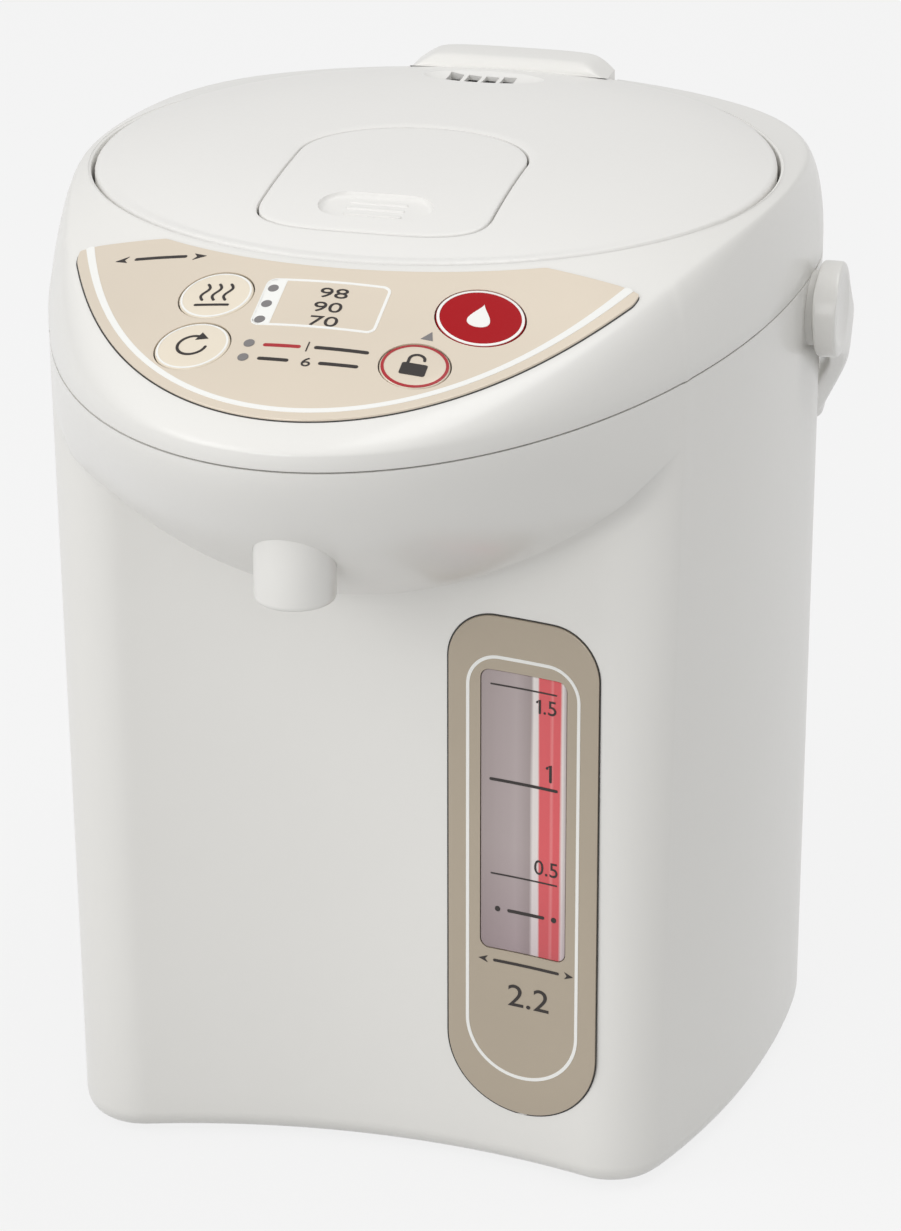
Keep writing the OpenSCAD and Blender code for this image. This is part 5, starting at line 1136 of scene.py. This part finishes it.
# %% [markdown]
# ## Printing
# Every print is a closed solid that stands a tenth of a millimetre proud of its ground and is
# sunk half as deep into it. It lies on a surface that is given as a function of two flat
# coordinates and a height: the film, a key, the gauge plate or its pane. So the same strokes,
# patches and numbers can be laid on all of them, and they follow the curve below.
# %% Printing
PRINT_T, SUNK = 0.1, 0.05


def on_film(x, y, high):
    """Point at a height over the film's upper face."""
    return np.stack([x, y, panel_z(x, y) + FILM_SEAT + FILM_T + high], -1)


def on_plate(x, z, high):
    """Point at a height over the gauge plate's face."""
    return on_face(x, z, -PLATE_PROUD - high)


def on_pane(x, z, high):
    """Point at a height over the window's face."""
    return on_face(x, z, 0.2 - PLATE_PROUD - high)


KEY_TOP, KEY_DEEP, KEY_CROWN = FILM_SEAT + FILM_T + 0.22, 6.0, 0.35


def key_axes(name):
    """Middle of a key on the panel, and its three directions: side, up the panel, outwards."""
    at = KEYS[name][0]
    n = panel_normal(*at)
    side = np.array([1.0, 0, 0]) - n[0] * n
    side /= np.linalg.norm(side)
    return np.array([*at, panel_z(*at)]), side, np.cross(n, side), n


def on_key(name):
    """The surface of one key: a flat crown, top + crown (1 - (r / R)4)."""
    middle, side, up, n = key_axes(name)
    radius = KEYS[name][1]

    def place(u, v, high):
        """Point at a height over the key's top."""
        share = np.minimum(1, np.hypot(u, v) / radius)
        lift = np.asarray(KEY_TOP - KEY_CROWN * share ** 4 + high)
        return (middle + np.asarray(u)[..., None] * side + np.asarray(v)[..., None] * up
                + lift[..., None] * n)
    return place


def stroke(path, width, place, closed=False):
    """A band along a flat path; width is one number or one for each point. An open band gets
    round ends: the width shrinks as the root of 1 - t2 over half a width."""
    path = np.asarray(path, float)
    width = np.broadcast_to(np.asarray(width, float), len(path)).copy()
    if not closed:
        t = np.array([0.45, 0.75, 0.93, 1.0])[:, None]
        first, last = path[0] - path[1], path[-1] - path[-2]
        first, last = first / np.linalg.norm(first), last / np.linalg.norm(last)
        shrink = np.sqrt(np.maximum(0.01, 1 - t[:, 0] ** 2))
        path = np.concatenate([(path[0] + first * t * width[0] / 2)[::-1], path,
                               path[-1] + last * t * width[-1] / 2])
        width = np.concatenate([(shrink * width[0])[::-1], width, shrink * width[-1]])
    if closed:
        ahead = np.roll(path, -1, 0) - np.roll(path, 1, 0)
    else:
        ahead = np.gradient(path, axis=0)
    ahead /= np.linalg.norm(ahead, axis=1)[:, None]
    across = np.c_[-ahead[:, 1], ahead[:, 0]] * width[:, None] / 2
    edges = [(path - across, -SUNK), (path - across, PRINT_T), (path, PRINT_T),
             (path + across, PRINT_T), (path + across, -SUNK)]
    rings = np.stack([place(p[:, 0], p[:, 1], np.full(len(p), h)) for p, h in edges], 1)
    if closed:
        return grid_object("stroke", rings, wrap_rows=True, wrap_columns=True)
    return closed_stack("stroke", rings)


def patch(outline, place, rings=5):
    """A filled outline that can be seen whole from its middle."""
    outline = np.asarray(outline, float)
    middle = outline.mean(0)
    flat = [middle + (outline - middle) * s for s in np.linspace(0, 1, rings)]
    rows = [place(p[:, 0], p[:, 1], np.full(len(p), PRINT_T)) for p in flat]
    rows += [place(p[:, 0], p[:, 1], np.full(len(p), -SUNK)) for p in flat[::-1]]
    return grid_object("patch", np.array(rows), wrap_columns=True)


def circle(middle, radius, steps=40):
    """Points round a circle."""
    a = np.linspace(0, 2 * np.pi, steps, endpoint=False)
    return np.c_[middle[0] + radius * np.cos(a), middle[1] + radius * np.sin(a)]


def line(x0, y0, x1, y1, steps=25):
    """Points from one end of a line to the other."""
    return np.c_[np.linspace(x0, x1, steps), np.linspace(y0, y1, steps)]


def one(x, y, high, width, place):
    """The digit 1 as one stroke with a small flag."""
    return stroke([(x - 0.17 * high, y + 0.27 * high), (x + 0.02 * high, y + 0.45 * high),
                   (x + 0.02 * high, y - 0.45 * high)], width, place)


def number(text, middle, width, height, place):
    """Digits as a flat mesh, made solid, scaled to their box and laid on a surface."""
    curve = bpy.data.curves.new("digits", "FONT")
    curve.body = text
    curve.resolution_u = 6
    holder = placed("digits", curve)
    mesh = evaluated_mesh(holder)
    bpy.data.objects.remove(holder)
    made = bmesh.new()
    made.from_mesh(mesh)
    bmesh.ops.remove_doubles(made, verts=made.verts, dist=1e-5)
    grown = bmesh.ops.extrude_face_region(made, geom=made.faces[:])["geom"]
    top = {v for v in grown if isinstance(v, bmesh.types.BMVert)}
    flat = np.array([v.co[:2] for v in made.verts])
    low, high = flat.min(0), flat.max(0)
    flat = (flat - (low + high) / 2) / (high - low) * (width, height) + middle
    lift = np.array([PRINT_T if v in top else -SUNK for v in made.verts])
    for v, p in zip(made.verts, place(flat[:, 0], flat[:, 1], lift) * MM):
        v.co = p
    bmesh.ops.recalc_face_normals(made, faces=made.faces)
    made.to_mesh(mesh)
    made.free()
    return placed("number", mesh)


def printed(name, parts, body, finish):
    """One finished piece with the meshes of all the parts."""
    made = bmesh.new()
    for part in parts:
        made.from_mesh(part.data)
        bpy.data.objects.remove(part)
    mesh = bpy.data.meshes.new(name)
    made.to_mesh(mesh)
    made.free()
    finish_piece(placed(name, mesh), body, finish, 40)


print("print thickness in mm:", PRINT_T)

# %% [markdown]
# ## What is printed on the film
# A white stripe follows the lower edge and is cut off by the wings. In the middle stands a white
# frame with three temperatures in degrees. The dots are lamps that shine through. Plain bars
# stand where a real panel has words.
# %% Prints on the film
def stripe():
    """The white stripe between two distances, both held inside the film's upper edge."""
    angle = np.radians(np.linspace(-90 - 41.5, -90 + 41.5, 181))
    share = (np.abs(angle + np.pi / 2) / FILM_HALF) ** 2
    outer = film_lower(angle) - 2.5 - 0.5 * share
    inner = outer - 1.5 - 0.9 * share
    hold = film_upper(angle) + 0.12
    outer, inner = np.maximum(outer, hold + 0.01), np.maximum(inner, hold)
    rings = [on_film(r * np.cos(angle), r * np.sin(angle), np.full_like(r, h))
             for r, h in ((inner, -SUNK), (inner, PRINT_T), (outer, PRINT_T), (outer, -SUNK))]
    return closed_stack("stripe", np.stack(rings, 1))


def arrow(x, y, way, long=3.4, half=1.25):
    """A plain arrowhead with a notched back."""
    return np.array([(x + way * long / 2, y), (x - way * long / 2, y + half),
                     (x - way * long * 0.22, y), (x - way * long / 2, y - half)])


FRAME_X, FRAME_W, FRAME_LOW, FRAME_HIGH, FIELD_W = -0.8, 31.0, -118.3, -100.8, 4.7
frame_line = rounded_outline(FRAME_X, FRAME_LOW, FRAME_W, FRAME_HIGH, [2.0] * 4, 8)
frame_left = rounded_outline(FRAME_X - (FRAME_W - FIELD_W) / 2, FRAME_LOW, FIELD_W, FRAME_HIGH,
                             [0.1, 0.1, 2.0, 2.0], 8)
whites = [stripe(), stroke(frame_line, 0.75, on_film, closed=True), patch(frame_left, on_film)]
printed("panel_white_prints", whites, "base", print_white)
darks = [number(t, at, 7.2, 3.7, on_film)
         for t, at in (("98", (1.3, -105.0)), ("90", (1.2, -110.5)), ("70", (1.6, -115.9)))]
darks.append(number("6", (1.6, -131.7), 2.3, 3.2, on_film))
darks += [patch(arrow(x, y, way), on_film, 3) for x, y, way in ((-58.6, -88.6, -1), (-37.4, -90.6, 1))]
darks += [stroke(line(*ends), width, on_film) for width, ends in (
    (1.0, (-54.6, -89.0, -41.4, -90.2)), (0.34, (0.4, -124.3, 0.4, -127.6)),
    (1.1, (2.6, -126.0, 15.2, -125.8)), (1.1, (-10.2, -131.4, -3.4, -131.6)),
    (1.1, (5.2, -131.7, 14.0, -131.4)))]
printed("panel_dark_prints", darks, "base", print_dark)
reds = [stroke(line(-10.2, -126.2, -1.8, -126.2), 1.1, on_film)]
printed("panel_red_print", reds, "base", print_red)
greys = [patch(circle(at, 1.35), lambda x, y, high: on_film(x, y, high + 0.06)) for at in LAMPS]
greys.append(patch([(28.6, -114.4), (26.5, -117.6), (29.5, -117.6)], on_film, 3))
printed("panel_grey_prints", greys, "base", print_grey)

# %% [markdown]
# ## The keys
# Each key is a short plunger that is turned about the panel's normal, with a flat crown and a
# soft edge. The marks on them are plain signs: a drop, a padlock, rising heat and a round arrow.
# %% Keys
def key_skin(name):
    """The plunger's outline in radius and height, turned about the key's own axis."""
    middle, side, up, n = key_axes(name)
    radius = KEYS[name][1]
    soft = 0.35
    r = np.concatenate([np.linspace(0, radius - soft, 14)[1:],
                        radius - soft + soft * np.sin(EDGE_TURN), [radius]])
    h = KEY_TOP - KEY_CROWN * (r / radius) ** 4
    h[-4:-1] -= soft * (1 - np.cos(EDGE_TURN))
    h[-1] = -KEY_DEEP
    a = np.linspace(0, 2 * np.pi, 96, endpoint=False)
    ring = np.cos(a)[:, None] * side + np.sin(a)[:, None] * up
    return np.array([middle + q * ring + k * n for q, k in zip(r, h)])


def drop_sign(u, v, size):
    """A water drop: x = sin t sin2(t / 2), y = cos t."""
    t = np.linspace(0, 2 * np.pi, 48, endpoint=False)
    return np.c_[u + 0.95 * size * np.sin(t) * np.sin(t / 2) ** 2, v + size * np.cos(t)]


def wave(u, v, high):
    """One wavy line that rises."""
    s = np.linspace(-0.5, 0.5, 25)
    return np.c_[u + 0.75 * np.sin(s * 2 * np.pi), v + s * high]


def round_arrow(radius):
    """Most of a circle, for a stroke, and the head at its end."""
    a = np.radians(np.linspace(60, 350, 40))
    tip = np.radians(70)
    out = np.array((math.cos(tip), math.sin(tip)))
    way = np.array((math.sin(tip), -math.cos(tip)))
    head = [out * (radius + wide) + way * ahead
            for wide, ahead in ((0, 2.4), (1.6, -0.5), (-1.6, -0.5))]
    return np.c_[radius * np.cos(a), radius * np.sin(a)], head


KEY_LOOKS = {"dispense": ("key_red", red_plastic), "unlock": ("champagne", champagne),
             "keep_warm": ("key_pale", pale_key), "reboil": ("key_pale", pale_key)}
for name, (slot, finish) in KEY_LOOKS.items():
    key = closed_stack("key_" + name + "_skin", key_skin(name))
    finish_piece(key, "key_" + name, finish, 35, ["key_" + name])

seat_on = {name: on_key(name) for name in KEYS}
drop = [patch(drop_sign(-0.2, 0.6, 4.6), seat_on["dispense"]),
        stroke(circle((0, 0), 10.45, 96), 0.7, seat_on["dispense"], closed=True)]
printed("dispense_marks", drop, "key_dispense", print_white)
ring = stroke(circle((0, 0), 7.9, 96), 0.75, seat_on["unlock"], closed=True)
printed("unlock_ring", [ring], "key_unlock", print_red)
bow = np.radians(np.linspace(180, 0, 20))
shackle = np.r_[[(-1.9, 0.4)], np.c_[1.9 * np.cos(bow), 2.2 + 1.9 * np.sin(bow)]]
lock = [patch(rounded_outline(0, -3.9, 6.4, 0.6, [0.6] * 4, 4), seat_on["unlock"]),
        stroke(shackle, 0.75, seat_on["unlock"])]
printed("unlock_mark", lock, "key_unlock", print_dark)
for name in ("keep_warm", "reboil"):
    ring = stroke(circle((0, 0), 8.75, 96), 0.5, seat_on[name], closed=True)
    printed(name + "_ring", [ring], "key_" + name, print_white)
heat = [stroke(wave(u, 0.9, 6.4), 0.7, seat_on["keep_warm"]) for u in (-3, 0, 3)]
heat.append(stroke(line(-4.2, -4.3, 4.2, -4.3), 0.8, seat_on["keep_warm"]))
printed("keep_warm_mark", heat, "key_keep_warm", print_dark)
bend, head = round_arrow(3.7)
again = [stroke(bend, 0.75, seat_on["reboil"]), patch(head, seat_on["reboil"], 3)]
printed("reboil_mark", again, "key_reboil", print_dark)

# %% [markdown]
# ## The water gauge
# A curved plate lies in its bed on the hollow front, and a clear pane fills its window. A fine
# dark ring round the plate is painted shade at its edge, and a white line runs round inside the plate's
# edge. The marks and numbers give litres, and an arrowhead stands at each side below the pane.
# %% Gauge plate
def soft_slab(name, outline, outer, inner, soft, rings=12):
    """A curved slab with a rounded front edge; outline is a function of its growth."""
    flat, middle = outline(-soft), outline(0).mean(0)
    rows = [(middle + (flat - middle) * s, outer) for s in np.linspace(0, 1, rings)]
    rows += [(outline(-soft * (1 - math.sin(a))), outer + soft * (1 - math.cos(a)))
             for a in EDGE_TURN]
    rows += [(middle + (outline(0) - middle) * s, inner) for s in np.linspace(1, 0, rings)]
    return grid_object(name, np.array([on_face(p[:, 0], p[:, 1], d) for p, d in rows]), wrap_columns=True)


plate_body = soft_slab("gauge_plate_skin", gauge_outline, -PLATE_PROUD, PLATE_BACK, 0.25)
cut(plate_body, [curved_slab("window hole", window_outline(LOOSE), -THROUGH, THROUGH, 4)])
finish_piece(plate_body, "base", plate_champagne, 40, ["gauge_plate"])
pane = soft_slab("gauge_pane", window_outline, 0.2 - PLATE_PROUD, WALL + 0.3, 0.2)
inner_line = rounded_outline(43.1, 28.6, 31.0, 147.8, (15.4, 8.6, 8.6, 15.4), 24)
# A dark ring just outside the plate: painted shadow of the gap round its edge.
shade = stroke(gauge_outline(0.26), 0.3, lambda x, z, high: on_face(x, z, -high), closed=True)
printed("gauge_shadow", [shade], "base", painted_shadow_line)
loop = stroke(inner_line, 0.9, on_plate, closed=True)
printed("gauge_line", [loop], "base", print_white)
marks = [stroke(line(x0, z, x1, z), width, on_pane) for x0, x1, z, width in (
    (34.0, 52.2, 140.1, 0.42), (34.0, 52.4, 113.4, 0.8), (34.2, 52.6, 86.6, 0.42),
    (39.2, 48.8, 76.6, 0.9))]
marks += [patch(circle((x, 76.6), 0.75), on_pane) for x in (36.0, 51.9)]
marks += [one(47.5, 136.2, 4.0, 0.62, on_pane), number(".5", (50.4, 136.2), 3.6, 4.0, on_pane),
          one(50.6, 118.0, 5.0, 0.75, on_pane), number("0.5", (49.6, 90.8), 6.6, 4.1, on_pane)]
printed("pane_marks", marks, "base", print_dark)
words = [patch(arrow(x, 61.6, way, 2.6, 1.0), on_plate, 3) for x, way in ((32.0, -1), (56.4, 1))]
words += [stroke(line(35.2, 61.6, 53.2, 61.6), 0.8, on_plate),
          number("2.2", (44.9, 52.4), 11.6, 6.3, on_plate)]
printed("plate_marks", words, "base", print_dark)

# %% [markdown]
# ## The pane
# Behind the pane a wide, flat indicator shows a grey field and a red strip, because the strip
# is seen through the water. The pane's colour is a row of bands across x, two of them painted
# highlights, blurred by streaks that run upright, and it darkens a little towards its foot.
# %% Pane
def linear(red, green, blue):
    """Screen values from 0 to 255 as linear light: about the power 2.2."""
    return tuple(round(((c / 255 + 0.055) / 1.055) ** 2.4, 4) for c in (red, green, blue))


# GREY_LIT and RED_LIT are painted highlights: lighter copies of the grey and the red.
GREY, GREY_LIT, PALE, RED, RED_LIT = ((166, 152, 151), (182, 168, 168), (234, 226, 223),
                                      (226, 84, 90), (236, 128, 130))
PANE_BANDS = ((0.00, GREY), (0.42, GREY_LIT), (0.57, GREY), (0.605, PALE), (0.665, PALE),
              (0.685, RED), (0.80, RED), (0.825, RED_LIT), (0.85, RED), (0.925, RED),
              (0.95, PALE), (1.00, GREY_LIT))


STREAK_CELLS, STREAK_SHIFT = 500.0, 0.012
FOOT_SHADE, FOOT_SHADE_H = (0.80, 0.74, 0.78, 1), 30


def banded_pane():
    """The pane's finish, with its bands and its shade on Object coordinates."""
    made = surface("banded pane", (0.5, 0.4, 0.4), (0.10, 0.16), 0.02, 1500.0, 0.01,
                   Coat_Weight=0.6, Coat_Roughness=0.03, Alpha=0.94)
    tree = made.node_tree
    place = node(tree, "TexCoord").outputs["Object"]
    axes = node(tree, "SeparateXYZ", {0: place}).outputs
    streaks = scaled(tree, noise_at(tree, place, STREAK_CELLS, 2.0, (1, 0.2, 0.02)),
                     NOISE_LOW, NOISE_HIGH, -STREAK_SHIFT, STREAK_SHIFT)
    low_x, high_x = [(GAUGE_X + s * WINDOW_W / 2) * MM for s in (-1, 1)]
    across = scaled(tree, axes[0], low_x, high_x, 0, 1)
    across = node(tree, "Math", {0: across, 1: streaks}, operation="ADD").outputs[0]
    ramp = node(tree, "ValToRGB", {0: across})
    stops = ramp.color_ramp.elements
    for at, tone in PANE_BANDS:
        stop = stops[0] if at == 0 else stops[len(stops) - 1] if at == 1 else stops.new(at)
        stop.color = (*linear(*tone), 1)
    foot = scaled(tree, axes[2], WINDOW_LOW * MM, (WINDOW_LOW + FOOT_SHADE_H) * MM, 1, 0)
    shade = node(tree, "Mix", {"A": ramp.outputs[0], "B": FOOT_SHADE, "Factor": foot},
                 data_type="RGBA", blend_type="MULTIPLY")
    tree.links.new(shade.outputs["Result"], tree.nodes["Principled BSDF"].inputs["Base Color"])
    return made


finish_piece(pane, "base", banded_pane(), 40, ["gauge_window"])

# %% [markdown]
# ## Finishes of the solids that stay
# The inner parts keep their solid shapes, and each gets a finish of its own kind: drawn steel
# with a fine upright grain, coated sheet, rubber, felt, iron laminations, board and brass.
# %% Finishes inside
BRUSHED = (1, 1, 0.03)
FINISHES = {
    "drawn steel": ((0.60, 0.60, 0.61), (0.22, 0.36), 0.03, 2600.0, 0.05,
                    dict(stretch=BRUSHED, Metallic=1.0),
                    "inner_vessel mesh_filter inner_lid motor_can handle_pivots hinge_bracket"),
    "polished steel": ((0.66, 0.66, 0.67), (0.12, 0.22), 0.02, 1800.0, 0.03, dict(Metallic=1.0),
                       "valve_ball steam_ball plate_spring latch_spring hinge_pin base_screws"),
    "zinc coated sheet": ((0.52, 0.53, 0.55), (0.35, 0.55), 0.10, 380.0, 0.06, dict(Metallic=0.9),
                          "chassis thermostat"),
    "mica and steel": ((0.34, 0.24, 0.14), (0.45, 0.65), 0.18, 420.0, 0.15,
                       dict(stretch=(1, 1, 0.3), Metallic=0.2), "band_heater heater_plate"),
    "glass fibre felt": ((0.66, 0.63, 0.55), (0.85, 0.95), 0.12, 1500.0, 0.8, {},
                         "insulation_wrap"),
    "silicone rubber": ((0.42, 0.42, 0.43), (0.45, 0.60), 0.05, 900.0, 0.08, {},
                        "lid_gasket suction_elbow outlet_pipe riser_elbow spout_pipe"),
    "foot rubber": ((0.035, 0.035, 0.037), (0.60, 0.78), 0.12, 1300.0, 0.25, {},
                    "feet tube_seals"),
    "heat resistant plastic": ((0.66, 0.65, 0.62), (0.40, 0.52), 0.03, 800.0, 0.05, {},
                               "vessel_ring pump_chamber pump_cover valve_housing thermal_fuse "
                               "steam_valve"),
    "base plastic": ((0.62, 0.61, 0.58), (0.42, 0.55), 0.03, 700.0, 0.08, {},
                     "base_plate inlet_socket"),
    "latch plastic": ((0.74, 0.73, 0.70), (0.32, 0.44), 0.02, 900.0, 0.04, {}, "latch_slide"),
    "dark moulded plastic": ((0.025, 0.025, 0.028), (0.35, 0.50), 0.08, 900.0, 0.06, {},
                             "impeller key_switches"),
    "iron laminations": ((0.12, 0.11, 0.10), (0.35, 0.60), 0.15, 1200.0, 0.3,
                         dict(stretch=(0.05, 0.05, 1), Metallic=0.8), "motor_rotor"),
    "circuit board": ((0.02, 0.10, 0.045), (0.25, 0.40), 0.15, 700.0, 0.10, dict(Coat_Weight=0.5),
                      "control_board power_board"),
    "lamp lens": ((0.80, 0.79, 0.75), (0.15, 0.25), 0.03, 900.0, 0.03,
                  dict(Transmission_Weight=0.4), "lamps"),
    "gauge glass": ((0.86, 0.90, 0.91), (0.03, 0.08), 0.02, 900.0, 0.01,
                    dict(stretch=(1, 1, 0.1), Transmission_Weight=0.9), "gauge_tube"),
    "indicator strip": ((0.36, 0.28, 0.30), (0.40, 0.55), 0.06, 600.0, 0.03,
                        dict(stretch=(1, 1, 0.1)), "gauge_backing"),
    "plated brass": ((0.60, 0.44, 0.16), (0.18, 0.32), 0.05, 1500.0, 0.04,
                     dict(stretch=(1, 0.1, 1), Metallic=1.0), "inlet_pins"),
}
for title, (*look, extra, names) in FINISHES.items():
    coat = surface(title, *look, **extra)
    for name in names.split():
        for place in nodes[name].material_slots:
            place.material = coat
print("solids with a finish of their own:", sum(len(f[-1].split()) for f in FINISHES.values()))
